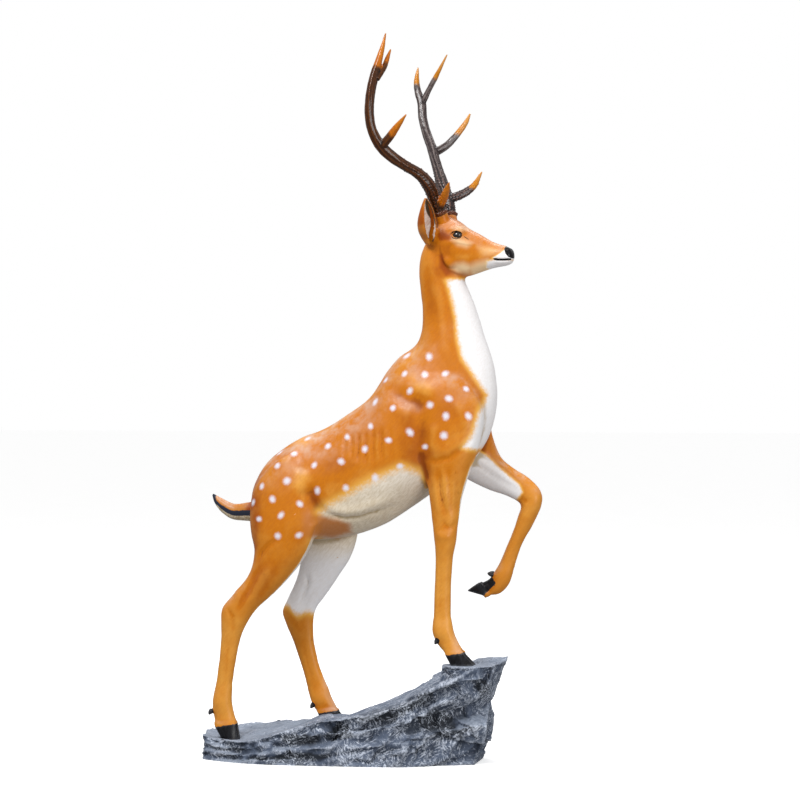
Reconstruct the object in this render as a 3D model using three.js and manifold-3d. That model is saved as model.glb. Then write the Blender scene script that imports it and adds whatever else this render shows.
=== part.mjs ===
// A painted fibreglass stag stepping up a low rock, with two antlers fitted to its head.
// Millimetres, +Z up, the stag facing +X, the origin in the middle of the rock's underside.

import * as THREE from "three";
import { mergeVertices } from "three/addons/utils/BufferGeometryUtils.js";
import Module from "manifold-3d";

const wasm = await Module();
wasm.setup();

// Driving sizes
const STATURE = 2000; // ground to the highest antler tip
const LOW_STEP = 50; // ground to the rear foothold
const MIDDLE_STEP = 78; // ground to the middle foothold
const HIGH_STEP = 276; // ground to the front foothold
const REAR_LEDGE = 47; // rock behind the rearmost heel
const FRONT_LEDGE = 58; // rock in front of the foremost toe
const SIDE_LEDGE = 100; // rock beside the outermost hoof's midline
const FOOTHOLD_MARGIN = 9; // bare flat round each sole
const FIT_GAP = 0.3; // between pieces that touch
const FIGURE_SIDES = 20;
const HEAD_SIDES = 16;
const LEG_SIDES = 10;
const CLAW_SIDES = 9;
const DEWCLAW_SIDES = 5;
const ANTLER_SIDES = 8;
const TINE_SIDES = 7;
const SEAT_SIDES = 14;

// The stag's pose and proportions are shares of its stature: every figure in the tables below
// counts two-thousandths of it, forward, to its left, and up.
const unit = STATURE / 2000;

// Shaping

const signedPower = (value, power) => Math.sign(value) * Math.abs(value) ** power;

/** Turns a skin's faces outwards, whichever way its rings were numbered. */
function facingOut(geometry) {
  const p = geometry.attributes.position;
  const index = geometry.index.array;
  const [a, b, c] = [new THREE.Vector3(), new THREE.Vector3(), new THREE.Vector3()];
  let volume = 0;
  for (let i = 0; i < index.length; i += 3) {
    a.fromBufferAttribute(p, index[i]);
    b.fromBufferAttribute(p, index[i + 1]);
    c.fromBufferAttribute(p, index[i + 2]);
    volume += a.dot(b.cross(c));
  }
  if (volume >= 0) return geometry;
  for (let i = 0; i < index.length; i += 3) {
    [index[i + 1], index[i + 2]] = [index[i + 2], index[i + 1]];
  }
  return geometry;
}

/** A closed surface through rings of points, with a point in the middle of each end ring. */
function skin(rings) {
  const sides = rings[0].length;
  const middle = (ring) =>
    ring.reduce((sum, p) => sum.add(p), new THREE.Vector3()).divideScalar(sides);
  const points = [...rings.flat(), middle(rings[0]), middle(rings.at(-1))];
  const first = points.length - 2;
  const last = points.length - 1;
  const index = [];
  for (let j = 0; j < sides; j++) {
    const next = (j + 1) % sides;
    index.push(first, next, j);
    const end = (rings.length - 1) * sides;
    index.push(last, end + j, end + next);
    for (let i = 0; i + 1 < rings.length; i++) {
      const [low, high] = [i * sides, (i + 1) * sides];
      index.push(low + j, low + next, high + next, low + j, high + next, high + j);
    }
  }
  const geometry = new THREE.BufferGeometry().setFromPoints(points);
  geometry.setIndex(index);
  return facingOut(geometry);
}

/** A geometry as a solid that can be joined and cut. */
function solid(geometry) {
  const bare = geometry.clone();
  bare.deleteAttribute("normal");
  bare.deleteAttribute("uv");
  const merged = mergeVertices(bare, 1e-3);
  return new wasm.Manifold(
    new wasm.Mesh({
      numProp: 3,
      vertProperties: new Float32Array(merged.attributes.position.array),
      triVerts: new Uint32Array(merged.index.array),
    }),
  );
}

const joined = (solids) => solids.reduce((whole, piece) => whole.add(piece));

/** A finished piece: one solid as a named mesh in its own colour. */
function piece(name, shape, material) {
  const { vertProperties, triVerts } = shape.getMesh();
  const geometry = new THREE.BufferGeometry();
  geometry.setAttribute("position", new THREE.BufferAttribute(vertProperties, 3));
  geometry.setIndex(new THREE.BufferAttribute(triVerts, 1));
  const flat = geometry.toNonIndexed();
  flat.computeVertexNormals();
  const mesh = new THREE.Mesh(flat, material);
  mesh.name = name;
  return mesh;
}

/** A smooth curve through the numbers picked from each row. */
function curveThrough(rows, pick) {
  const points = rows.map((row) => new THREE.Vector3(...pick(row)));
  return new THREE.CatmullRomCurve3(points, false, "catmullrom", 0.5);
}

/**
 * A body or a limb through stations drawn in side view. Each station is
 * [rear or top x, z, front or bottom x, z, y of its middle, half its width, fullness], and a
 * fullness above 0 makes it wider towards its first point, below 0 towards its second.
 */
function limb(stations, { sides = LEG_SIDES, steps = 3, power = 0.92 } = {}) {
  const back = curveThrough(stations, ([x, z, , , y]) => [x, y, z]);
  const front = curveThrough(stations, ([, , x, z, y]) => [x, y, z]);
  const girth = curveThrough(stations, ([, , , , , width, fullness = 0]) => [width, fullness, 0]);
  const count = (stations.length - 1) * steps;
  const rings = [];
  for (let i = 0; i <= count; i++) {
    const [a, b, g] = [back, front, girth].map((curve) => curve.getPoint(i / count));
    const middle = a.clone().add(b).divideScalar(2);
    const half = a.clone().sub(middle);
    rings.push(
      Array.from({ length: sides }, (_, j) => {
        const turn = (j / sides) * Math.PI * 2;
        const along = signedPower(Math.cos(turn), power);
        const across = signedPower(Math.sin(turn), power) * g.x * (1 + g.y * along);
        return middle.clone().addScaledVector(half, along).add(new THREE.Vector3(0, across, 0));
      }),
    );
  }
  return skin(rings).scale(unit, unit, unit);
}

/** A round rod through points [x, y, z, radius], each ring square to the way it runs. */
function rod(points, { sides = ANTLER_SIDES, steps = 2 } = {}) {
  const path = curveThrough(points, ([x, y, z]) => [x, y, z]);
  const girth = curveThrough(points, ([, , , radius]) => [radius, 0, 0]);
  const count = (points.length - 1) * steps;
  const side = new THREE.Vector3(0, 1, 0);
  const rings = [];
  for (let i = 0; i <= count; i++) {
    const along = path.getTangent(i / count);
    const out = new THREE.Vector3().crossVectors(side, along).normalize();
    side.crossVectors(along, out).normalize();
    rings.push(
      Array.from({ length: sides }, (_, j) => {
        const turn = (j / sides) * Math.PI * 2;
        const radius = girth.getPoint(i / count).x;
        return path
          .getPoint(i / count)
          .addScaledVector(out, Math.cos(turn) * radius)
          .addScaledVector(side, Math.sin(turn) * radius);
      }),
    );
  }
  return skin(rings).scale(unit, unit, unit);
}

// Trunk, neck and tail

// From the rump, along the back and up the neck: back x, z, belly x, z, y, half-width, fullness.
const TRUNK = [
  [-300, 712, -288, 646, 0, 34, 0],
  [-286, 772, -262, 620, 0, 78, 0],
  [-243, 836, -205, 612, 0, 102, 0],
  [-163, 891, -110, 608, 0, 109, 0],
  [-88, 920, -22, 617, 0, 113, -0.06],
  [-15, 964, 78, 650, 0, 117, -0.1],
  [47, 1011, 162, 702, 0, 118, -0.1],
  [92, 1078, 236, 754, 0, 112, -0.1],
  [128, 1120, 312, 812, 0, 101, -0.05],
  [162, 1142, 374, 886, 0, 89, 0.05],
  [182, 1163, 403, 985, 0, 77, 0.1],
  [193, 1200, 396, 1090, 0, 64, 0.1],
  [194, 1250, 369, 1176, 0, 54, 0.05],
  [188, 1303, 343, 1258, 0, 49, 0],
  [184, 1355, 317, 1320, 0, 47, 0],
  [190, 1405, 298, 1362, 0, 46, 0],
  [212, 1455, 285, 1400, 0, 42, 0],
];

const TAIL = [
  [-270, 712, -270, 652, 0, 19],
  [-316, 710, -315, 656, 0, 20],
  [-355, 705, -362, 660, 0, 19],
  [-388, 717, -394, 679, 0, 14],
  [-409, 728, -415, 703, 0, 8],
  [-422, 735, -425, 728, 0, 2.5],
];

// Head

const POLL = new THREE.Vector3(250, 0, 0);
const HEAD_TURN = THREE.MathUtils.degToRad(-8); // a little to its right

// From the back of the skull to the nose: brow x, z, jaw x, z, y, half-width, fullness.
const HEAD = [
  [216, 1470, 226, 1410, 0, 26, 0],
  [232, 1500, 240, 1384, 0, 42, 0],
  [262, 1510, 268, 1362, 0, 51, 0.05],
  [298, 1496, 296, 1346, 0, 52, 0.12],
  [328, 1474, 322, 1341, 0, 46, 0.08],
  [361, 1457, 351, 1348, 0, 37, 0],
  [393, 1438, 383, 1358, 0, 30.5, -0.05],
  [418, 1428, 409, 1364, 0, 27.5, -0.05],
  [437, 1423, 437, 1368, 0, 25.5, -0.05],
  [453, 1411, 452, 1374, 0, 20, 0],
  [460, 1399, 458, 1384, 0, 9, 0],
];

const EYE = { at: [303, 46, 1454], radii: [15, 8.5, 10] };
const NOSTRIL = { at: [452, 15, 1406], radii: [4.5, 6, 4] };
const MOUTH = { from: [402, 1384], to: [470, 1387], width: 60, gape: 4.5 };
const BALL_SIDES = 10;
const BALL_RINGS = 6;

/** Turns what is modelled facing straight ahead with the head. */
function turnedWithHead(geometry) {
  const poll = POLL.clone().multiplyScalar(unit);
  return geometry
    .translate(-poll.x, -poll.y, 0)
    .rotateZ(HEAD_TURN)
    .translate(poll.x, poll.y, 0);
}

function ellipsoid({ at: [x, y, z], radii: [rx, ry, rz] }, side) {
  return new THREE.SphereGeometry(1, BALL_SIDES, BALL_RINGS)
    .scale(rx, ry, rz)
    .translate(x, y * side, z)
    .scale(unit, unit, unit);
}

function mouthSlit() {
  const [[x1, z1], [x2, z2]] = [MOUTH.from, MOUTH.to];
  const slit = new THREE.Shape([
    new THREE.Vector2(x1, z1),
    new THREE.Vector2(x2, z2 - MOUTH.gape / 2),
    new THREE.Vector2(x2, z2 + MOUTH.gape / 2),
  ]);
  return new THREE.ExtrudeGeometry(slit, { depth: MOUTH.width, bevelEnabled: false })
    .translate(0, 0, -MOUTH.width / 2)
    .rotateX(Math.PI / 2)
    .scale(unit, unit, unit);
}

// An ear is a cupped leaf: its root, its tip on the right and the left side, the way it opens,
// and from root to tip its shares of its half-width and of its cup's depth.
const EAR = {
  root: [243, 52, 1428],
  tips: { [-1]: [243, 104, 1552], 1: [226, 98, 1549] },
  opens: [1, 0, 0.12],
  halfWidth: 28,
  depth: 35,
  wall: 6,
  halfTurn: THREE.MathUtils.degToRad(101),
  shape: [
    [0.42, 0.6],
    [0.6, 0.85],
    [0.88, 1],
    [1, 1],
    [0.98, 0.86],
    [0.84, 0.64],
    [0.56, 0.4],
    [0.14, 0.14],
  ],
};

function ear(side) {
  const mirrored = ([x, y, z]) => new THREE.Vector3(x, y * side, z);
  const [root, tip] = [mirrored(EAR.root), mirrored(EAR.tips[side])];
  const along = tip.clone().sub(root).normalize();
  const opens = mirrored(EAR.opens);
  opens.addScaledVector(along, -opens.dot(along)).normalize();
  const across = new THREE.Vector3().crossVectors(along, opens);
  const half = 5;
  const arc = (centre, width, depth, turn) =>
    centre
      .clone()
      .addScaledVector(across, width * Math.sin(turn))
      .addScaledVector(opens, -depth * Math.cos(turn));
  const rings = EAR.shape.map(([wide, deep], i) => {
    const centre = root.clone().lerp(tip, i / (EAR.shape.length - 1));
    const [width, depth] = [EAR.halfWidth * wide, EAR.depth * deep];
    const wall = Math.min(EAR.wall, 0.7 * width, 0.7 * depth);
    const outer = [];
    const inner = [];
    for (let j = -half; j <= half; j++) {
      const turn = (j / half) * EAR.halfTurn;
      outer.push(arc(centre, width, depth, turn));
      if (Math.abs(j) < half) inner.unshift(arc(centre, width - wall, depth - wall, turn));
    }
    return [...outer, ...inner];
  });
  return skin(rings).scale(unit, unit, unit);
}

// Legs

// Each leg from its top inside the body to the coronet: rear x, z, front x, z, y, half-width.
const RIGHT_HIND = [
  [-236, 808, -140, 868, -58, 38],
  [-276, 752, -98, 800, -66, 50],
  [-286, 690, -82, 720, -72, 55],
  [-282, 630, -88, 650, -77, 55],
  [-270, 574, -120, 570, -82, 47],
  [-286, 512, -166, 508, -87, 36],
  [-326, 462, -217, 455, -91, 27],
  [-362, 418, -257, 420, -94, 25],
  [-366, 378, -286, 380, -95, 22.5],
  [-366, 330, -307, 334, -95, 19],
  [-372, 262, -322, 264, -95, 17.5],
  [-382, 198, -332, 200, -95, 18],
  [-389, 155, -334, 156, -95, 23],
  [-386, 120, -327, 122, -95, 21],
  [-380, 93, -318, 93, -95, 23],
];
const LEFT_HIND = [
  [-222, 808, -118, 866, 58, 38],
  [-246, 755, -56, 790, 66, 50],
  [-228, 690, -26, 712, 72, 54],
  [-200, 630, -14, 640, 76, 53],
  [-182, 562, -32, 563, 79, 44],
  [-196, 492, -76, 493, 82, 34],
  [-227, 428, -116, 436, 84, 26],
  [-241, 394, -140, 404, 85, 24.5],
  [-232, 362, -148, 368, 85, 22],
  [-208, 306, -146, 312, 85, 18.5],
  [-182, 232, -129, 238, 85, 17.5],
  [-166, 175, -106, 183, 85, 18.5],
  [-155, 142, -96, 154, 85, 23],
  [-144, 121, -85, 134, 85, 21],
  [-130, 98, -72, 110, 85, 22],
];
const RIGHT_FORE = [
  [122, 1052, 214, 1098, -44, 30],
  [150, 1000, 318, 1066, -56, 44],
  [180, 925, 374, 985, -64, 50],
  [204, 850, 372, 890, -69, 50],
  [222, 785, 344, 805, -74, 42],
  [232, 726, 322, 732, -78, 34],
  [240, 660, 312, 662, -80, 28],
  [246, 606, 306, 608, -80, 27],
  [248, 560, 297, 562, -80, 21],
  [245, 480, 293, 482, -80, 18],
  [242, 400, 293, 402, -80, 18.5],
  [240, 364, 299, 368, -80, 24],
  [253, 334, 311, 340, -80, 21],
  [276, 308, 328, 316, -80, 23],
];
const LEFT_FORE = [
  [122, 1052, 214, 1098, 44, 30],
  [152, 995, 318, 1062, 56, 44],
  [188, 908, 366, 980, 64, 50],
  [238, 828, 376, 905, 69, 47],
  [304, 778, 400, 842, 74, 40],
  [366, 748, 436, 810, 78, 33],
  [420, 730, 478, 784, 80, 28],
  [456, 708, 513, 746, 80, 26.5],
  [450, 684, 514, 706, 80, 26],
  [435, 640, 492, 656, 80, 21],
  [414, 590, 462, 602, 80, 18],
  [394, 543, 445, 556, 80, 18],
  [376, 514, 434, 518, 80, 22],
  [370, 503, 421, 484, 80, 21],
  [360, 495, 392, 457, 80, 20],
  [343, 487, 352, 455, 80, 20],
];

// Each foot's sole and coronet run from rear to front, and the sole was drawn at a height.
const FEET = {
  rear: {
    sole: [-356, -312],
    coronet: [-383, -320],
    y: -95,
    drawn: 50,
    height: 40,
    fetlock: [-395, 129],
  },
  middle: {
    sole: [-118, -44],
    coronet: [-133, -75],
    y: 85,
    drawn: 78,
    height: 33,
    fetlock: [-148, 130],
  },
  front: {
    sole: [294, 360],
    coronet: [277, 326],
    y: -80,
    drawn: 276,
    height: 30,
    fetlock: [254, 342],
  },
};
const STEPS = { rear: LOW_STEP, middle: MIDDLE_STEP, front: HIGH_STEP };
const RAISED_FOOT = {
  sole: [0, 45],
  coronet: [-7, 14],
  height: 36,
  heel: [341, 80, 491],
  pitch: THREE.MathUtils.degToRad(145),
  fetlock: [375, 513],
  y: 80,
};
const CLAW = { halfWidth: 12, cleft: 1.5 };
const DEWCLAW = { length: 13, radius: 7, apart: 13 };

const STANDING_LEGS = { rear: RIGHT_HIND, middle: LEFT_HIND, front: RIGHT_FORE };

/** A height in a leg's drawing, drawn out or shortened so that its sole stands at its step. */
function reaching(z, name) {
  const [, top] = STANDING_LEGS[name][0];
  return THREE.MathUtils.mapLinear(z, FEET[name].drawn, top, STEPS[name] / unit, top);
}

/** A standing leg, from its top inside the body down to its foothold. */
function standingLeg(name) {
  const moved = (z) => reaching(z, name);
  const fitted = STANDING_LEGS[name].map(([x1, z1, x2, z2, ...rest]) => {
    return [x1, moved(z1), x2, moved(z2), ...rest];
  });
  return limb(fitted, { steps: 2 });
}

/** One of a hoof's two claws, flat below, its toe forward, reaching a little into the leg. */
function claw({ sole, coronet, height }, side) {
  const rings = [0, 1, 1.3].map((level) => {
    const rear = THREE.MathUtils.lerp(sole[0], coronet[0], level);
    const front = THREE.MathUtils.lerp(sole[1], coronet[1], level);
    const width = CLAW.halfWidth * (level > 1 ? 0.5 : 1 - 0.1 * level);
    return Array.from({ length: CLAW_SIDES }, (_, j) => {
      const turn = (j / CLAW_SIDES) * Math.PI * 2;
      const along = Math.cos(turn);
      const forward = Math.max(0, along);
      const across = signedPower(Math.sin(turn), 0.8) * width * (1 - 0.5 * forward ** 2);
      const inward = -side * width * 0.4 * forward ** 2;
      const x = (front + rear) / 2 + (along * (front - rear)) / 2;
      const y = side * (CLAW.halfWidth + CLAW.cleft) + across + inward;
      return new THREE.Vector3(x, y, level * height);
    });
  });
  return skin(rings);
}

/** The two small horn cones behind a fetlock, pointing [forward, up]. */
function dewclaws([x, z], y, [forward, up]) {
  const { length, radius, apart } = DEWCLAW;
  return [-1, 1].map((side) =>
    rod(
      [
        [x - forward * length, y + side * apart, z - up * length, radius],
        [x + forward * 4, y + side * apart, z + up * 4, radius],
        [x + forward * length, y + side * (apart + 2), z + up * length, 2],
      ],
      { sides: DEWCLAW_SIDES, steps: 1 },
    ),
  );
}

/** A standing foot: two claws on the foothold and two dewclaws behind the fetlock. */
function foot(name) {
  const { y, fetlock } = FEET[name];
  const fetlockHeight = reaching(fetlock[1], name);
  const claws = [-1, 1].map((side) =>
    claw(FEET[name], side).translate(0, y, 0).scale(unit, unit, unit).translate(0, 0, STEPS[name]),
  );
  return [...claws, ...dewclaws([fetlock[0], fetlockHeight], y, [-0.45, -0.9])];
}

/** The raised foot, hanging with its toe back and down. */
function raisedFoot(drawing) {
  const { pitch, heel, y, fetlock } = drawing;
  const claws = [-1, 1].map((side) =>
    claw(drawing, side)
      .rotateY(pitch)
      .translate(...heel)
      .scale(unit, unit, unit),
  );
  return [...claws, ...dewclaws(fetlock, y, [-0.9, 0.3])];
}

// Antlers and the pedicles that they stand on

const RIGHT_ANTLER = {
  beam: [
    [252, -32, 1513, 17],
    [240, -48, 1552, 19],
    [227, -72, 1590, 19],
    [205, -98, 1619, 16],
    [172, -130, 1641, 15],
    [140, -156, 1665, 16.5],
    [116, -178, 1692, 16],
    [100, -196, 1728, 14],
    [94, -207, 1772, 13.5],
    [97, -208, 1824, 13.5],
    [105, -199, 1874, 13],
    [115, -190, 1915, 10.5],
    [124, -180, 1956, 6.5],
    [131, -172, 1996, 2],
  ],
  tines: [
    [[112, -198, 1868, 10], [128, -178, 1903, 8.5], [134, -164, 1930, 6.5], [140, -152, 1955, 2]],
    [[118, -176, 1684, 13], [147, -186, 1714, 12], [171, -195, 1741, 9], [197, -205, 1769, 2]],
    [[248, -40, 1528, 12], [264, -56, 1550, 12], [278, -76, 1573, 9.5], [291, -97, 1594, 2]],
  ],
};
const LEFT_ANTLER = {
  beam: [
    [264, 34, 1511, 17],
    [256, 46, 1551, 18],
    [236, 66, 1598, 19],
    [218, 90, 1643, 15.5],
    [202, 114, 1682, 15],
    [188, 134, 1718, 15],
    [168, 156, 1760, 14],
    [152, 174, 1808, 13.5],
    [146, 186, 1852, 13.5],
    [133, 192, 1888, 10.5],
    [129, 195, 1922, 8],
    [133, 196, 1958, 2],
  ],
  tines: [
    [[150, 184, 1856, 10], [171, 178, 1893, 8.5], [193, 168, 1926, 7.5], [229, 150, 1984, 2]],
    [
      [196, 128, 1702, 13],
      [228, 142, 1723, 11.5],
      [254, 153, 1752, 10],
      [278, 164, 1786, 8],
      [292, 170, 1816, 2.5],
    ],
    [
      [252, 44, 1560, 13],
      [286, 58, 1573, 13],
      [310, 69, 1588, 11.5],
      [326, 78, 1606, 9],
      [343, 90, 1641, 2],
    ],
  ],
};
const BURR = { radius: 21, height: 12 };
const PEDICLE = { radius: 18, drop: 40 };

/** The direction in which an antler leaves its seat. */
function leaving([[x1, y1, z1], [x2, y2, z2]]) {
  return new THREE.Vector3(x2 - x1, y2 - y1, z2 - z1).normalize();
}

/** A drum whose axis leaves the antler's seat, from one distance along it to another. */
function drumAtSeat(beam, radius, from, to) {
  const [x, y, z] = beam[0];
  const way = leaving(beam);
  const turn = new THREE.Quaternion().setFromUnitVectors(new THREE.Vector3(0, 1, 0), way);
  return new THREE.CylinderGeometry(radius, radius, to - from, SEAT_SIDES)
    .translate(0, (from + to) / 2, 0)
    .applyQuaternion(turn)
    .translate(x, y, z)
    .scale(unit, unit, unit);
}

function antler({ beam, tines }) {
  const parts = [rod(beam), ...tines.map((tine) => rod(tine, { sides: TINE_SIDES, steps: 1 }))];
  const burr = solid(drumAtSeat(beam, BURR.radius, 0, BURR.height));
  const below = solid(drumAtSeat(beam, BURR.radius * 2, -BURR.radius * 2, 0));
  return joined([...parts.map(solid), burr]).subtract(below);
}

function pedicle({ beam }) {
  return drumAtSeat(beam, PEDICLE.radius, -PEDICLE.drop, -FIT_GAP / unit);
}

/** The room that an antler's burr needs above the head, with the fit's gap under it. */
function seatRoom({ beam }) {
  return drumAtSeat(beam, BURR.radius + 3, -FIT_GAP / unit, BURR.height * 2);
}

// The stag as cast

function stag() {
  const bodyStyle = { sides: FIGURE_SIDES, steps: 2, power: 0.95 };
  const body = [
    limb(TRUNK, bodyStyle),
    limb(TAIL, { steps: 2 }),
    ...Object.keys(STANDING_LEGS).map(standingLeg),
    limb(LEFT_FORE, { steps: 2 }),
    ...Object.keys(FEET).flatMap(foot),
    ...raisedFoot(RAISED_FOOT),
  ];
  const head = [
    limb(HEAD, { ...bodyStyle, sides: HEAD_SIDES }),
    ...[-1, 1].flatMap((side) => [ear(side), ellipsoid(EYE, side)]),
  ];
  const cuts = [mouthSlit(), ...[-1, 1].map((side) => ellipsoid(NOSTRIL, side))];
  const headSolid = joined(head.map((g) => solid(turnedWithHead(g))));
  const carved = cuts.reduce((whole, cut) => whole.subtract(solid(turnedWithHead(cut))), headSolid);
  const antlers = [RIGHT_ANTLER, LEFT_ANTLER];
  const withPedicles = joined([...body.map(solid), carved, ...antlers.map((a) => solid(pedicle(a)))]);
  return antlers.reduce((whole, a) => whole.subtract(solid(seatRoom(a))), withPedicles);
}

// Rock

const FOOTPRINTS = Object.entries(FEET).map(([name, { sole, y }]) => ({
  x: ((sole[0] + sole[1]) / 2) * unit,
  y: y * unit,
  step: STEPS[name],
  length: (sole[1] - sole[0]) * unit,
  width: (CLAW.halfWidth * 2 + CLAW.cleft) * 2 * unit,
}));
const ROCK_REAR = FEET.rear.sole[0] * unit - REAR_LEDGE;
const ROCK_FRONT = FEET.front.sole[1] * unit + FRONT_LEDGE;
const ROCK_HALF_WIDTH = Math.abs(FEET.rear.y) * unit + SIDE_LEDGE;

// A share along the rock, shares of the rise from the low to the high step at the right and the
// left edge of its top, and shares of its half-width: right top and foot, left top and foot.
const ROCK_PROFILE = [
  [0, 0.07, -0.02, 0.7, 0.76, 0.68, 0.72],
  [0.06, 0.02, 0.0, 0.82, 0.88, 0.78, 0.84],
  [0.15, 0.02, 0.06, 0.91, 0.98, 0.88, 0.95],
  [0.25, 0.12, 0.1, 0.93, 1, 0.92, 0.98],
  [0.36, 0.27, 0.13, 0.9, 0.96, 0.94, 1],
  [0.46, 0.34, 0.17, 0.86, 0.91, 0.93, 0.98],
  [0.52, 0.37, 0.32, 0.84, 0.88, 0.9, 0.96],
  [0.6, 0.41, 0.48, 0.82, 0.84, 0.88, 0.92],
  [0.68, 0.5, 0.6, 0.8, 0.77, 0.85, 0.86],
  [0.72, 0.58, 0.74, 0.78, 0.72, 0.82, 0.8],
  [0.78, 0.72, 0.85, 0.76, 0.63, 0.8, 0.7],
  [0.85, 0.87, 0.93, 0.73, 0.5, 0.76, 0.6],
  [0.92, 0.97, 0.99, 0.68, 0.42, 0.7, 0.5],
  [1, 1.02, 1.01, 0.5, 0.3, 0.5, 0.34],
];
// Shares of the height of the rock's faces, how far they stand in there along its sides, and how
// far they stand back under its front end.
const STRATA = [
  [0, 0, 66],
  [0.18, 9, 46],
  [0.4, -4, 28],
  [0.53, 15, 54],
  [0.68, -2, 38],
  [0.84, 8, 12],
];
const ROCK_COLUMNS = 26;
const TOP_POINTS = 7;
const UNDER_POINTS = 4;
const PAD = { corners: 9, depth: 38, unevenness: 0.08 };
const PAD_REACH = [0.68, 0.62]; // shares of a footprint's length and width
const ROUGHNESS = 9;
const REAR_SKEW = 0.25; // the rock's rear end runs back towards its left
const CREST = { x: -80, y: 22, height: 22, reach: [70, 38] }; // a hump beside the middle foothold

/** A repeatable number from -1 to 1 for each pair of whole numbers. */
function roughness(i, j) {
  const wave = Math.sin(i * 127.1 + j * 311.7) * 43758.5453;
  return (wave - Math.floor(wave)) * 2 - 1;
}

/** The rock's drawing at a share along it: two rises and four shares of its half-width. */
function rockDrawing(share) {
  const after = Math.max(1, ROCK_PROFILE.findIndex(([s]) => s >= share));
  const [low, high] = [ROCK_PROFILE[after - 1], ROCK_PROFILE[after]];
  const between = THREE.MathUtils.inverseLerp(low[0], high[0], share);
  return low.slice(1).map((value, column) => THREE.MathUtils.lerp(value, high[column + 1], between));
}

/** One side of the rock's outline at a share along it, from its foot to below its top edge. */
function rockFace(i, share, side, top, foot, height) {
  const end = THREE.MathUtils.smoothstep(share, 0.68, 1);
  return STRATA.map(([up, inwards, back], j) => {
    const rough = j ? roughness(i, j * side) * ROUGHNESS : 0;
    const reach = THREE.MathUtils.lerp(foot, top, up) * ROCK_HALF_WIDTH - inwards + rough;
    return [-back * end + rough, side * reach, up * height];
  });
}

/** How far the hump beside the middle foothold lifts the rock's top. */
function crest(x, y) {
  const away = Math.hypot((x - CREST.x) / CREST.reach[0], (y - CREST.y) / CREST.reach[1]);
  return CREST.height * Math.exp(-(away ** 2));
}

function rockRing(i) {
  const share = i / ROCK_COLUMNS;
  const x = THREE.MathUtils.lerp(ROCK_REAR, ROCK_FRONT, share);
  const [rightRise, leftRise, rightTop, rightFoot, leftTop, leftFoot] = rockDrawing(share);
  const heights = [rightRise, leftRise].map((rise) => LOW_STEP + rise * (HIGH_STEP - LOW_STEP));
  const right = rockFace(i, share, -1, rightTop, rightFoot, heights[0]);
  const left = rockFace(i, share, 1, leftTop, leftFoot, heights[1]);
  const top = Array.from({ length: TOP_POINTS + 1 }, (_, j) => {
    const across = j / TOP_POINTS;
    const y = THREE.MathUtils.lerp(-rightTop, leftTop, across) * ROCK_HALF_WIDTH;
    const z = THREE.MathUtils.lerp(...heights, across) + crest(x, y);
    const rough = roughness(i, j + TOP_POINTS) * ROUGHNESS * 0.5;
    return [rough, y, z + roughness(i, j + TOP_POINTS * 2) * ROUGHNESS * 0.5];
  });
  const under = Array.from({ length: UNDER_POINTS - 1 }, (_, j) => {
    const across = (j + 1) / UNDER_POINTS;
    return [right[0][0], THREE.MathUtils.lerp(left[0][1], right[0][1], across), 0];
  });
  const skew = REAR_SKEW * (1 - THREE.MathUtils.smoothstep(share, 0, 0.3));
  return [...right, ...top, ...left.reverse(), ...under].map(
    ([shift, y, z]) => new THREE.Vector3(x + shift - skew * (y + ROCK_HALF_WIDTH * 0.75), y, z),
  );
}

/** An uneven prism round a footprint, from one height to another. */
function prismAt({ x, y, length, width }, margin, from, to) {
  const outline = new THREE.Shape(
    Array.from({ length: PAD.corners }, (_, j) => {
      const turn = (j / PAD.corners) * Math.PI * 2;
      const reach = 1 + PAD.unevenness * roughness(j, Math.round(x));
      return new THREE.Vector2(
        x + Math.cos(turn) * (length * PAD_REACH[0] + margin) * reach,
        y + Math.sin(turn) * (width * PAD_REACH[1] + margin) * reach,
      );
    }),
  );
  const depth = to - from;
  return new THREE.ExtrudeGeometry(outline, { depth, bevelEnabled: false }).translate(0, 0, from);
}

function rock() {
  const rings = Array.from({ length: ROCK_COLUMNS + 1 }, (_, i) => rockRing(i));
  const block = solid(skin(rings));
  const pads = FOOTPRINTS.map((print) =>
    solid(prismAt(print, FOOTHOLD_MARGIN * 2, print.step - PAD.depth, print.step - FIT_GAP)),
  );
  const rooms = FOOTPRINTS.map((print) =>
    solid(prismAt(print, FOOTHOLD_MARGIN, print.step - FIT_GAP, print.step + HIGH_STEP)),
  );
  return rooms.reduce((whole, room) => whole.subtract(room), joined([block, ...pads]));
}

// The whole

const paint = (color, roughness) => new THREE.MeshStandardMaterial({ color, roughness, metalness: 0 });

const sculpture = new THREE.Group();
sculpture.add(
  piece("deer_figure", stag(), paint(0xd8862c, 0.5)),
  piece("antler_right", antler(RIGHT_ANTLER), paint(0x4a2d1c, 0.3)),
  piece("antler_left", antler(LEFT_ANTLER), paint(0x4a2d1c, 0.3)),
  piece("rock_base", rock(), paint(0x6c7079, 0.8)),
);

export default sculpture;
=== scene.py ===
"""The finished surfaces of a painted fibreglass stag stepping up a low rock.

The tables are in millimetres in the model's own frame: the stag faces +X, its left side is +Y
and +Z is up. Meshes are in metres.
"""

from __future__ import annotations

import logging
import math
from dataclasses import dataclass, field
from enum import Enum

import bpy
import numpy as np
from bpy.types import Material, Node, NodeOutputs, NodeSocket, NodeTree, Object
from mathutils import Matrix, Vector, noise
from mathutils.kdtree import KDTree

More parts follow.
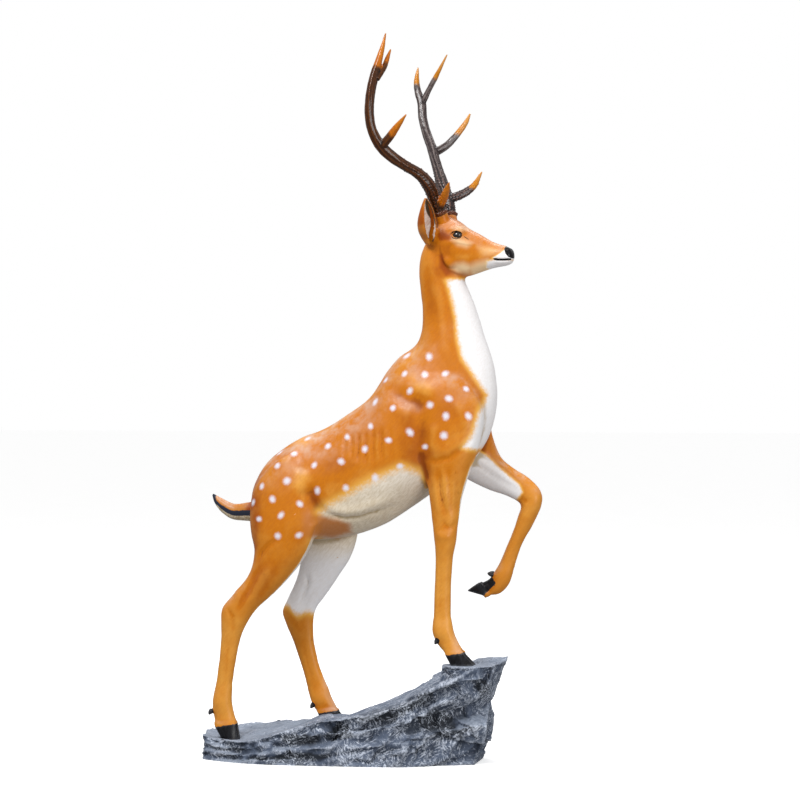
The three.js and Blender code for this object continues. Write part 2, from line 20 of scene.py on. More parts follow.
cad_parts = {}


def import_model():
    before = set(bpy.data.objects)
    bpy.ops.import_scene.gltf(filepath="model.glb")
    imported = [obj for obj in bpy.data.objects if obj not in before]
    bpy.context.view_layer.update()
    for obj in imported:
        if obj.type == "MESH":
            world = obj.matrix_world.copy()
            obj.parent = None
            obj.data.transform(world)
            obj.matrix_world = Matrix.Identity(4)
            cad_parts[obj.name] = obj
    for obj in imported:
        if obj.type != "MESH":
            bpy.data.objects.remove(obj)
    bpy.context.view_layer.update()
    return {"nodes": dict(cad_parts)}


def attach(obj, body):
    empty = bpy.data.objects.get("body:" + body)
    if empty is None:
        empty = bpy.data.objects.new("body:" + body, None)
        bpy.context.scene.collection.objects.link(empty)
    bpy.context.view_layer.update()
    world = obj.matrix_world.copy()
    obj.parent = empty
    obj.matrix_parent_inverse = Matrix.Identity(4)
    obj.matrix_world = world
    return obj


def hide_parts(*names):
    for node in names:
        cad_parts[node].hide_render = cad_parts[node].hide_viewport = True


log = logging.getLogger("stag")

MM = 0.001
BODY = "root"

Array = np.ndarray
Row = tuple[float, ...]
Point = tuple[float, float]


class Side(Enum):
    """The stag's two sides, by the sign of y."""

    RIGHT = -1
    LEFT = 1


RIGHT = (Side.RIGHT,)
LEFT = (Side.LEFT,)
BOTH = (Side.RIGHT, Side.LEFT)


class Slot(Enum):
    """The record's material slots."""

    COAT = "coat"
    ANTLER = "antler"
    ROCK = "rock"


# Meshes


@dataclass
class Skin:
    """A closed surface, as points in millimetres and faces."""

    points: Array
    faces: list[tuple[int, ...]]

    def moved(self, turn: Array, shift: Row) -> Skin:
        """This surface turned by a 3 by 3 matrix and then shifted."""
        return Skin(self.points @ turn.T + np.array(shift), self.faces)

    def mirrored(self) -> Skin:
        """This surface's mirror image on the stag's other side."""
        return Skin(self.points * np.array([1, -1, 1]), [face[::-1] for face in self.faces])


def joined(skins: list[Skin]) -> Skin:
    """Puts several surfaces into one, still overlapping.

    Args:
        skins: The surfaces.

    Returns:
        The one surface.
    """
    points, faces, first = [], [], 0
    for skin in skins:
        points.append(skin.points)
        faces += [tuple(i + first for i in face) for face in skin.faces]
        first += len(skin.points)
    return Skin(np.vstack(points), faces)


def flowing(rows: list[Row] | Array, steps: int) -> Array:
    """Runs a smooth curve through rows of numbers.

    Args:
        rows: The numbers at each station.
        steps: How many parts each stretch between two stations is cut into.

    Returns:
        The numbers at every part of the curve.
    """
    known = np.array(rows, float)
    ends = np.vstack([2 * known[0] - known[1], known, 2 * known[-1] - known[-2]])
    share = (np.arange(steps) / steps)[:, None]
    parts = []
    for before, start, end, after in zip(ends, ends[1:], ends[2:], ends[3:]):
        bend = 2 * before - 5 * start + 4 * end - after
        twist = 3 * start - before - 3 * end + after
        parts.append(0.5 * (2 * start + (end - before) * share + bend * share**2 + twist * share**3))
    return np.vstack([*parts, known[-1:]])


def signed_power(values: Array, power: float) -> Array:
    """Raises each value's size to a power and keeps its sign."""
    return np.sign(values) * np.abs(values) ** power


def lofted(rings: Array) -> Skin:
    """Closes a surface through rings of points, with a point in the middle of each end.

    Args:
        rings: Points as an array of rings, sides and coordinates.

    Returns:
        The closed surface, facing out.
    """
    count, sides, _ = rings.shape
    points = np.vstack([rings.reshape(-1, 3), rings[0].mean(0), rings[-1].mean(0)])
    first, last, end = count * sides, count * sides + 1, (count - 1) * sides
    faces: list[tuple[int, ...]] = []
    for j in range(sides):
        k = (j + 1) % sides
        faces += [(first, k, j), (last, end + j, end + k)]
        for low in range(0, end, sides):
            faces.append((low + j, low + k, low + sides + k, low + sides + j))
    corners = points[[face[:3] for face in faces]]
    volume = np.einsum("ij,ij->", corners[:, 0], np.cross(corners[:, 1], corners[:, 2]))
    return Skin(points, faces if volume > 0 else [face[::-1] for face in faces])


def turning(sides: int) -> Array:
    """The angles of a ring's points."""
    return np.arange(sides) / sides * 2 * math.pi


def limb(rows: list[Row], sides: int = 40, steps: int = 6, power: float = 0.95) -> Skin:
    """A body or limb through stations drawn in side view.

    Args:
        rows: Rear or top x and z, front or bottom x and z, y, half-width and fullness.
        sides: Points round each ring.
        steps: Rings from one station to the next.
        power: Below 1 fills the section's corners out.

    Returns:
        The closed surface.
    """
    drawn = flowing([row if len(row) == 7 else (*row, 0.0) for row in rows], steps)
    back = drawn[:, [0, 4, 1]]
    front = drawn[:, [2, 4, 3]]
    middle = (back + front) / 2
    along = signed_power(np.cos(turning(sides)), power)
    across = signed_power(np.sin(turning(sides)), power)
    rings = middle[:, None] + (back - middle)[:, None] * along[None, :, None]
    rings[:, :, 1] += drawn[:, 5, None] * across * (1 + drawn[:, 6, None] * along)
    return lofted(rings)


def rod(rows: list[Row], sides: int = 24, steps: int = 8) -> Skin:
    """A round rod through points with a radius, each ring square to the way it runs.

    Args:
        rows: x, y, z and radius at each point.
        sides: Points round each ring.
        steps: Rings from one point to the next.

    Returns:
        The closed surface.
    """
    drawn = flowing(rows, steps)
    path, radius = drawn[:, :3], np.maximum(drawn[:, 3], 0.4)
    ways = np.gradient(path, axis=0)
    ways /= np.linalg.norm(ways, axis=1)[:, None]
    side = np.array([0.0, 1.0, 0.0])
    turns = turning(sides)
    rings = []
    for middle, way, reach in zip(path, ways, radius):
        out = np.cross(side, way)
        out /= np.linalg.norm(out)
        side = np.cross(way, out)
        rings.append(middle + reach * (np.outer(np.cos(turns), out) + np.outer(np.sin(turns), side)))
    return lofted(np.array(rings))


def rings_of(skin: Skin, sides: int) -> tuple[Array, Array]:
    """A rod's rings again, and each ring's middle."""
    rings = skin.points[: len(skin.points) // sides * sides].reshape(-1, sides, 3)
    return rings, rings.mean(1, keepdims=True)


def ball(middle: Row, radii: Row, lean: float = 0.0, sides: int = 24) -> Skin:
    """An egg-shaped mass, leaned about Y.

    Args:
        middle: Its middle.
        radii: Its reach along its own three axes.
        lean: How far it's turned about Y, in degrees.
        sides: Points round it.

    Returns:
        The closed surface.
    """
    height = np.cos(np.linspace(0.12, math.pi - 0.12, sides // 2))[:, None]
    girth = np.sqrt(1 - height**2)
    turns = turning(sides)[None]
    rings = np.stack([girth * np.cos(turns), girth * np.sin(turns), height + 0 * turns], 2) * radii
    turn = np.array(Matrix.Rotation(math.radians(lean), 3, "Y"))
    return lofted(rings).moved(turn, middle)


def linked(thing: Object) -> Object:
    """Puts an object in the scene."""
    bpy.context.scene.collection.objects.link(thing)
    return thing


def as_object(skin: Skin, name: str) -> Object:
    """Makes a Blender object, in metres, of a surface.

    Args:
        skin: The surface.
        name: The object's name.

    Returns:
        The object, in the scene.
    """
    mesh = bpy.data.meshes.new(name)
    mesh.from_pydata((skin.points * MM).tolist(), [], skin.faces)
    mesh.update()
    return linked(bpy.data.objects.new(name, mesh))


def settled(thing: Object) -> None:
    """Replaces an object's mesh by what its modifiers make of it, and drops them."""
    evaluated = thing.evaluated_get(bpy.context.evaluated_depsgraph_get())
    mesh = bpy.data.meshes.new_from_object(evaluated)
    thing.modifiers.clear()
    old, thing.data = thing.data, mesh
    bpy.data.meshes.remove(old)
    mesh.name = thing.name


def remeshed(thing: Object, pitch: float) -> None:
    """Makes one closed surface of overlapping ones, with faces about a pitch (mm) wide."""
    remesh = thing.modifiers.new("one_surface", "REMESH")
    remesh.mode = "VOXEL"
    remesh.voxel_size = pitch * MM
    settled(thing)


def points_of(thing: Object) -> Array:
    """An object's points, in millimetres."""
    flat = np.empty(len(thing.data.vertices) * 3, np.float32)
    thing.data.vertices.foreach_get("co", flat)
    return flat.reshape(-1, 3).astype(float) / MM


def normals_of(thing: Object) -> Array:
    """An object's normals at its points."""
    flat = np.empty(len(thing.data.vertices) * 3, np.float32)
    thing.data.vertex_normals.foreach_get("vector", flat)
    return flat.reshape(-1, 3).astype(float)


def set_points(thing: Object, points: Array) -> None:
    """Moves an object's points, given in millimetres."""
    thing.data.vertices.foreach_set("co", (points * MM).astype(np.float32).ravel())
    thing.data.update()


def set_mask(thing: Object, name: str, values: Array) -> None:
    """Keeps a value from 0 to 1 at each point as a named attribute."""
    layer = thing.data.attributes.new(name, "FLOAT", "POINT")
    layer.data.foreach_set("value", np.clip(values, 0, 1).astype(np.float32))


def ramp(values: Array, low: float, high: float) -> Array:
    """Rises smoothly from 0 at one value to 1 at another, which may be the lower."""
    share = np.clip((values - low) / (high - low), 0, 1)
    return share * share * (3 - 2 * share)


class Web:
    """Which points of a mesh are neighbours, for smoothing over them."""

    def __init__(self, thing: Object) -> None:
        """Reads the mesh's edges.

        Args:
            thing: The object.
        """
        edges = np.empty(len(thing.data.edges) * 2, np.int32)
        thing.data.edges.foreach_get("vertices", edges)
        self.starts, self.ends = edges.reshape(-1, 2).T
        self.count = len(thing.data.vertices)
        self.degree = np.maximum(self._sum(np.ones(len(self.starts)), np.ones(len(self.starts))), 1)

    def _sum(self, at_starts: Array, at_ends: Array) -> Array:
        """Adds up what each point gets from its edges."""
        got = np.bincount(self.starts, at_starts, self.count)
        return got + np.bincount(self.ends, at_ends, self.count)

    def mean(self, values: Array) -> Array:
        """The mean of each point's neighbours."""
        columns = values.reshape(self.count, -1).T
        sums = [self._sum(column[self.ends], column[self.starts]) / self.degree for column in columns]
        return np.stack(sums, 1).reshape(values.shape)

    def smoothed(self, values: Array, rounds: int, share: Array | float = 0.6) -> Array:
        """Draws values towards their neighbours' mean.

        Args:
            values: A value or a place at each point.
            rounds: How often.
            share: How far each time, which may differ from point to point.

        Returns:
            The smoothed values.
        """
        pull = np.asarray(share, float)
        if pull.ndim == 1 and values.ndim == 2:
            pull = pull[:, None]
        for _ in range(rounds):
            values = values + pull * (self.mean(values) - values)
        return values


def pairs(numbers: Row) -> Array:
    """The places in a run of x and z, one place after another."""
    return np.reshape(numbers, (-1, 2))


def distance_to_line(points: Array, line: Array) -> tuple[Array, Array]:
    """Measures how far points are from a line of straight stretches, in a plane or in space.

    Args:
        points: The points.
        line: The line's corners.

    Returns:
        The distances, and how far along the line, from 0 to 1, each nearest place is.
    """
    best = np.full(len(points), np.inf)
    place = np.zeros(len(points))
    for i, (start, end) in enumerate(zip(line, line[1:])):
        way = np.subtract(end, start)
        share = np.clip((points - start) @ way / max(way @ way, 1e-9), 0, 1)
        away = np.linalg.norm(points - start - share[:, None] * way, axis=1)
        nearer = away < best
        best[nearer] = away[nearer]
        place[nearer] = (i + share[nearer]) / (len(line) - 1)
    return best, place


def inside(points: Array, outline: Array, soft: float) -> Array:
    """A mask of points in a plane inside an outline, with a soft edge.

    Args:
        points: Points in the plane.
        outline: The outline's corners.
        soft: Half the width of the edge.

    Returns:
        1 inside, 0 outside.
    """
    away, _ = distance_to_line(points, (*outline, outline[0]))
    crossed = np.zeros(len(points), bool)
    x, z = points.T
    for (x1, z1), (x2, z2) in zip(outline, (*outline[1:], outline[0])):
        if z1 != z2:
            spans = (z > min(z1, z2)) & (z <= max(z1, z2))
            crossed ^= spans & (x < x1 + (z - z1) * (x2 - x1) / (z2 - z1))
    return ramp(np.where(crossed, away, -away), -soft, soft)


@dataclass(frozen=True)
class Stroke:
    """A ridge, or with a negative height a groove, along a line of x and z seen from the side."""

    line: Row
    width: float
    height: float
    sides: tuple[Side, ...] = BOTH
    least_y: float = 0.0
    facing: float = 0.12

    def lift(self, points: Array, normals: Array) -> Array:
        """How far it moves each point out along its normal.

        Args:
            points: The surface's points.
            normals: Their normals.

        Returns:
            The moves, in millimetres.
        """
        moves = np.zeros(len(points))
        plane, line = points[:, [0, 2]], pairs(self.line)
        low, high = line.min(0) - 3 * self.width, line.max(0) + 3 * self.width
        near = np.all((plane > low) & (plane < high), 1)
        for side in self.sides:
            out = normals[:, 1] * side.value
            at = np.flatnonzero(near & (out > self.facing) & (points[:, 1] * side.value > self.least_y))
            away, place = distance_to_line(plane[at], line)
            fade = ramp(np.minimum(place, 1 - place), -0.06, 0.3)
            turned = ramp(out[at], self.facing, self.facing + 0.4)
            moves[at] += self.height * np.exp(-((away / self.width) ** 2)) * fade * turned
        return moves


def strokes(*rows: tuple, kind: type[Stroke] = Stroke) -> list[Stroke]:
    """Strokes of one kind, each given by its fields in order."""
    return [kind(*row) for row in rows]


def modelled(thing: Object, lines: list[Stroke]) -> None:
    """Models ridges and grooves into a surface."""
    points, normals = points_of(thing), normals_of(thing)
    moves = sum(line.lift(points, normals) for line in lines)
    set_points(thing, points + moves[:, None] * normals)


# The stag's drawing

TRUNK: list[Row] = [
    (-300, 712, -288, 646, 0, 34, 0), (-286, 772, -262, 620, 0, 78, 0), (-243, 836, -205, 612, 0, 102, 0),
    (-163, 891, -110, 608, 0, 109, 0), (-88, 920, -22, 617, 0, 113, -0.06),
    (-15, 964, 78, 650, 0, 117, -0.1), (47, 1011, 162, 702, 0, 118, -0.1),
    (92, 1078, 236, 754, 0, 112, -0.1), (128, 1120, 312, 812, 0, 101, -0.05),
    (162, 1142, 374, 886, 0, 89, 0.05), (182, 1163, 403, 985, 0, 77, 0.1),
    (193, 1200, 396, 1090, 0, 64, 0.1), (194, 1250, 369, 1176, 0, 54, 0.05),
    (188, 1303, 343, 1258, 0, 49, 0), (184, 1355, 317, 1320, 0, 47, 0), (190, 1405, 298, 1362, 0, 46, 0),
    (212, 1455, 285, 1400, 0, 42, 0),
]
TAIL: list[Row] = [
    (-270, 712, -270, 652, 0, 19), (-316, 710, -315, 656, 0, 20), (-355, 705, -362, 660, 0, 19),
    (-388, 717, -394, 679, 0, 14), (-409, 728, -415, 703, 0, 8), (-422, 735, -425, 728, 0, 2.5),
]
HEAD: list[Row] = [
    (216, 1470, 226, 1410, 0, 26, 0), (232, 1500, 240, 1384, 0, 42, 0),
    (262, 1510, 268, 1362, 0, 51, 0.05), (298, 1496, 296, 1346, 0, 52, 0.12),
    (328, 1474, 322, 1341, 0, 46, 0.08), (361, 1457, 351, 1348, 0, 37, 0),
    (393, 1438, 383, 1358, 0, 30.5, -0.05), (418, 1428, 409, 1364, 0, 27.5, -0.05),
    (437, 1423, 437, 1368, 0, 25.5, -0.05), (453, 1411, 452, 1374, 0, 20, 0),
    (460, 1399, 458, 1384, 0, 9, 0),
]
RIGHT_HIND: list[Row] = [
    (-236, 808, -140, 868, -58, 38), (-276, 752, -98, 800, -66, 50), (-286, 690, -82, 720, -72, 55),
    (-282, 630, -88, 650, -77, 55), (-270, 574, -120, 570, -82, 47), (-286, 512, -166, 508, -87, 36),
    (-326, 462, -217, 455, -91, 27), (-362, 418, -257, 420, -94, 25), (-366, 378, -286, 380, -95, 22.5),
    (-366, 330, -307, 334, -95, 19), (-372, 262, -322, 264, -95, 17.5), (-382, 198, -332, 200, -95, 18),
    (-389, 155, -334, 156, -95, 23), (-386, 120, -327, 122, -95, 21), (-380, 93, -318, 93, -95, 23),
]
LEFT_HIND: list[Row] = [
    (-222, 808, -118, 866, 58, 38), (-246, 755, -56, 790, 66, 50), (-228, 690, -26, 712, 72, 54),
    (-200, 630, -14, 640, 76, 53), (-182, 562, -32, 563, 79, 44), (-196, 492, -76, 493, 82, 34),
    (-227, 428, -116, 436, 84, 26), (-241, 394, -140, 404, 85, 24.5), (-232, 362, -148, 368, 85, 22),
    (-208, 306, -146, 312, 85, 18.5), (-182, 232, -129, 238, 85, 17.5), (-166, 175, -106, 183, 85, 18.5),
    (-155, 142, -96, 154, 85, 23), (-144, 121, -85, 134, 85, 21), (-130, 98, -72, 110, 85, 22),
]
RIGHT_FORE: list[Row] = [
    (122, 1052, 214, 1098, -44, 30), (150, 1000, 318, 1066, -56, 44), (180, 925, 374, 985, -64, 50),
    (204, 850, 372, 890, -69, 50), (222, 785, 344, 805, -74, 42), (232, 726, 322, 732, -78, 34),
    (240, 660, 312, 662, -80, 28), (246, 606, 306, 608, -80, 27), (248, 560, 297, 562, -80, 21),
    (245, 480, 293, 482, -80, 18), (242, 400, 293, 402, -80, 18.5), (240, 364, 299, 368, -80, 24),
    (253, 334, 311, 340, -80, 21), (276, 307, 327, 313, -80, 23),
]
LEFT_FORE: list[Row] = [
    (122, 1052, 214, 1098, 44, 30), (152, 995, 318, 1062, 56, 44), (188, 908, 366, 980, 64, 50),
    (238, 828, 376, 905, 69, 47), (304, 778, 400, 842, 74, 40), (366, 748, 436, 810, 78, 33),
    (420, 730, 478, 784, 80, 28), (456, 708, 513, 746, 80, 26.5), (450, 684, 514, 706, 80, 26),
    (435, 640, 492, 656, 80, 21), (414, 590, 462, 602, 80, 18), (394, 543, 445, 556, 80, 18),
    (376, 514, 434, 518, 80, 22), (370, 503, 421, 484, 80, 21), (360, 495, 392, 457, 80, 20),
    (343, 487, 352, 455, 80, 20),
]

# Shaping the parts


@dataclass(frozen=True)
class Claw:
    """One of a hoof's two claws, drawn with its sole at height 0 and its toe towards +X."""

    sole: Point
    coronet: Point
    height: float
    half_width: float = 12.0
    cleft: float = 2.4
    sides: int = 28
    levels: tuple[float, ...] = (0.0, 0.04, 0.2, 0.4, 0.6, 0.8, 1.0, 1.15, 1.3)

    def skin(self, side: int) -> Skin:
        """The claw's closed surface on one side of the foot.

        Args:
            side: 1 for the claw towards +Y, -1 for the other.

        Returns:
            The closed surface.
        """
        turns = turning(self.sides)
        along = np.cos(turns)
        forward = np.maximum(0, along)
        rings = []
        for level in self.levels:
            rise = min(level, 1.0)
            rear = self.sole[0] + (self.coronet[0] - self.sole[0]) * rise
            front = self.sole[1] + (self.coronet[1] - self.sole[1]) * rise
            narrowing = 0.5 if level > 1.2 else 1 - 0.1 * level
            edge = 0.94 if level == 0 else 1.0
            width = self.half_width * narrowing * edge
            across = signed_power(np.sin(turns), 0.8) * width * (1 - 0.5 * forward**2)
            inward = -side * width * 0.2 * forward**2
            x = (front + rear) / 2 + along * (front - rear) / 2 * edge
            y = side * (self.half_width + self.cleft) + across + inward
            rings.append(np.stack([x, y, np.full(self.sides, level * self.height)], 1))
        return lofted(np.array(rings))


@dataclass(frozen=True)
class Foot:
    """A foot: two claws and two dewclaws, placed and pitched."""

    claw: Claw
    place: Row
    fetlock: Point
    dewclaw_way: Point
    pitch: float = 0.0
    dewclaw_length: float = 13.0
    dewclaw_radius: float = 7.0
    dewclaw_apart: float = 13.0

    def turn(self) -> Array:
        """How the hoof is turned from standing flat."""
        return np.array(Matrix.Rotation(math.radians(self.pitch), 3, "Y"))

    def claws(self) -> list[Skin]:
        """The two claws where they stand."""
        return [self.claw.skin(side).moved(self.turn(), self.place) for side in (-1, 1)]

    def dewclaws(self) -> list[Skin]:
        """The two small horn cones behind the fetlock."""
        (x, z), (forward, up) = self.fetlock, self.dewclaw_way
        made = []
        for side in (-1, 1):
            y = self.place[1] + side * self.dewclaw_apart
            rows = [
                (x + forward * reach, y + lean * side, z + up * reach, radius)
                for reach, lean, radius in (
                    (-5, 0, self.dewclaw_radius - 1.5),
                    (4, 0, self.dewclaw_radius),
                    (self.dewclaw_length, 2, 2),
                )
            ]
            made.append(rod(rows, 14, 6))
        return made

    def horn(self, points: Array) -> Array:
        """A mask of the foot's horn: the claws below the coronet, and the dewclaws.

        Args:
            points: The surface's points.

        Returns:
            1 on horn, 0 elsewhere.
        """
        local = (points - self.place) @ self.turn()
        along = np.abs(local[:, 0] - sum(self.claw.sole) / 2)
        here = (along < 60) & (np.abs(local[:, 1]) < 40) & (local[:, 2] > -8)
        slant = 0.16 * (local[:, 0] - sum(self.claw.coronet) / 2)
        coronet = ramp(local[:, 2] - self.claw.height - slant, 1.2, -1.2) * here
        (x, z), (forward, up) = self.fetlock, self.dewclaw_way
        reach = self.dewclaw_length + 3
        ends = np.array([[x + forward * far, z + up * far] for far in (1.5, reach)])
        near = np.abs(points[:, 1] - self.place[1]) < 30
        away, _ = distance_to_line(points[:, [0, 2]], ends)
        return np.maximum(coronet, ramp(away, 9.5, 7.5) * near)


FEET = (
    Foot(Claw((-356, -312), (-381, -319), 40), (0, -95, 50), (-390, 130), (-0.5, -0.87)),
    Foot(Claw((-118, -44), (-133, -74), 33), (0, 85, 78), (-146, 131), (-0.5, -0.87)),
    Foot(Claw((294, 360), (277, 330), 30), (0, -80, 276), (256, 343), (-0.5, -0.87)),
    Foot(Claw((0, 45), (-7, 14), 36), (341, 80, 491), (375, 513), (-0.9, 0.3), pitch=145),
)


@dataclass(frozen=True)
class Ear:
    """A cupped ear, in the head's own frame, with its inner and its outer wall."""

    side: Side
    root: Row
    tip: Row
    opens: Row = (0.94, 0.33, 0.12)
    half_width: float = 27.0
    depth: float = 36.0
    wall: float = 5.5
    half_turn: float = 101.0
    shape: tuple[Point, ...] = (
        (0.42, 0.6), (0.6, 0.85), (0.88, 1.0), (1.0, 1.0), (0.98, 0.86), (0.84, 0.64), (0.56, 0.4),
        (0.14, 0.14),
    )

    def axes(self) -> tuple[Array, Array, Array, Array]:
        """The root, and the ways along the ear, out of its opening and across it.

        Returns:
            The root and the three ways, each 1 long.
        """
        flip = np.array([1, self.side.value, 1])
        root, tip = np.array(self.root) * flip, np.array(self.tip) * flip
        along = (tip - root) / np.linalg.norm(tip - root)
        opens = np.array(self.opens) * flip
        opens = opens - along * (opens @ along)
        opens /= np.linalg.norm(opens)
        return root, along, opens, np.cross(along, opens)

    def skin(self, half: int = 16, steps: int = 6) -> Skin:
        """The ear's closed surface.

        Args:
            half: Half the points across its hollow.
            steps: Rings from one row to the next.

        Returns:
            The closed surface.
        """
        root, along, opens, across = self.axes()
        length = np.linalg.norm(np.subtract(self.tip, self.root))
        shares = flowing(list(self.shape), steps)
        turns = np.radians(np.linspace(-self.half_turn, self.half_turn, 2 * half + 1))
        rings = []
        for i, (wide, deep) in enumerate(shares):
            middle = root + along * length * i / (len(shares) - 1)
            width, depth = self.half_width * max(wide, 0.1), self.depth * max(deep, 0.1)
            wall = min(self.wall, 0.7 * width, 0.7 * depth)
            arcs = []
            for thin, angles in ((0.0, turns), (wall, turns[-2:0:-1])):
                sideways = np.outer((width - thin) * np.sin(angles), across)
                arcs.append(middle + sideways - np.outer((depth - thin) * np.cos(angles), opens))
            rings.append(np.vstack(arcs))
        return lofted(np.array(rings))

    def places(self, points: Array) -> tuple[Array, Array, Array]:
        """Each point's share along the ear, place across it and place towards its opening."""
        root, along, opens, across = self.axes()
        away = points - root
        length = np.linalg.norm(np.subtract(self.tip, self.root))
        return away @ along / length, away @ across / self.half_width, away @ opens / self.depth


EARS = (
    Ear(Side.RIGHT, (238, 52, 1428), (240, 102, 1552)),
    Ear(Side.LEFT, (240, 52, 1428), (228, 98, 1549)),
)
POLL = np.array([250.0, 0.0, 0.0])
HEAD_TURN = np.array(Matrix.Rotation(math.radians(-8), 3, "Z"))
EYE_PLACE: Row = (308, 41, 1453)
EYE_RADII: Row = (14.5, 11.0, 10.0)


def with_head(points: Array) -> Array:
    """Places in the head's own frame, turned with the head into the stag's."""
    return (points - POLL) @ HEAD_TURN.T + POLL


def from_head(points: Array) -> Array:
    """Places of the stag's, seen in the head's own frame."""
    return (points - POLL) @ HEAD_TURN + POLL


FACE_STROKES = strokes(
    ((280, 1463, 290, 1471, 307, 1474, 324, 1468, 338, 1459), 5, 3),
    ((291, 1455, 298, 1463, 309, 1465.5, 319, 1462, 326, 1452), 2.6, 2.6),
    ((326, 1452, 319, 1443.5, 309, 1440.5, 298, 1443.5, 291, 1454), 2.6, 2),
    ((324, 1453, 333, 1446, 344, 1438), 2.4, -2.2),
    ((300, 1431, 316, 1424, 338, 1419, 358, 1418), 6, -2),
    ((272, 1428, 295, 1434, 318, 1433, 342, 1428, 362, 1426), 6, 2.4),
    ((255, 1441, 254, 1414, 259, 1386, 275, 1362, 293, 1352), 6, -3.6),
    ((268, 1420, 270, 1392, 284, 1374, 304, 1368), 12, 2.6),
    ((322, 1380, 352, 1386, 385, 1394), 10, -1.6),
    ((404, 1390, 412, 1386.5, 421, 1384.5, 439, 1384, 453, 1386, 466, 1387), 2.2, -4.6),
    ((408, 1394, 422, 1391, 440, 1390, 454, 1392), 3.2, 1.5),
    ((410, 1380, 424, 1377, 442, 1377, 456, 1379), 3.6, 1.4),
    ((436, 1421, 437, 1410, 443, 1399, 452, 1391), 2, -1.2),
    ((442, 1407, 448, 1409.5, 453, 1405), 3, -5.5),
    ((438, 1413, 446, 1417, 456, 1411), 3.4, 1.6),
    ((340, 1447, 374, 1430, 412, 1417), 6, -1.2),
    ((262, 1462, 276, 1470), 8, -1.5),
)


@dataclass
class Head:
    """The stag's head with its ears."""

    pitch: float = 1.9
    quick_pitch: float = 3.2
    masses: tuple[tuple[Row, Row, float], ...] = (
        ((282, 24, 1388), (30, 24, 30), 20),
        ((306, 30, 1466), (24, 18, 14), 12),
        ((262, 26, 1462), (24, 24, 26), 0),
        ((441, 12, 1402), (16, 12, 17), 20),
    )

    def skin(self) -> Skin:
        """The finished head's surface, turned into the stag's frame.

        Returns:
            The closed surface.
        """
        parts = [limb(HEAD, 48, 7)]
        for middle, radii, lean in self.masses:
            mass = ball(middle, radii, lean)
            parts += [mass, mass.mirrored()]
        thing = as_object(joined(parts), "head_form")
        remeshed(thing, self.pitch)
        web = Web(thing)
        set_points(thing, web.smoothed(points_of(thing), 30))
        modelled(thing, FACE_STROKES)
        self.sink_eyes(thing)
        set_points(thing, web.smoothed(points_of(thing), 2))
        faces = [tuple(polygon.vertices) for polygon in thing.data.polygons]
        face = Skin(points_of(thing), faces)
        bpy.data.objects.remove(thing)
        whole = joined([face, *(ear.skin() for ear in EARS)])
        return Skin(with_head(whole.points), whole.faces)

    def sink_eyes(self, thing: Object, reach: float = 1.05, depth: float = 3.4) -> None:
        """Sinks a hollow for each eye between its lids."""
        points, normals = points_of(thing), normals_of(thing)
        away = (points[:, [0, 2]] - [EYE_PLACE[0], EYE_PLACE[2]]) / [EYE_RADII[0], EYE_RADII[2] * 0.92]
        hollow = ramp(np.linalg.norm(away, axis=1), reach, reach * 0.72)
        hollow *= (np.abs(points[:, 1]) > 25) & (np.abs(normals[:, 1]) > 0.3)
        set_points(thing, points - depth * hollow[:, None] * normals)


# Modelled lines of the body, seen from the side

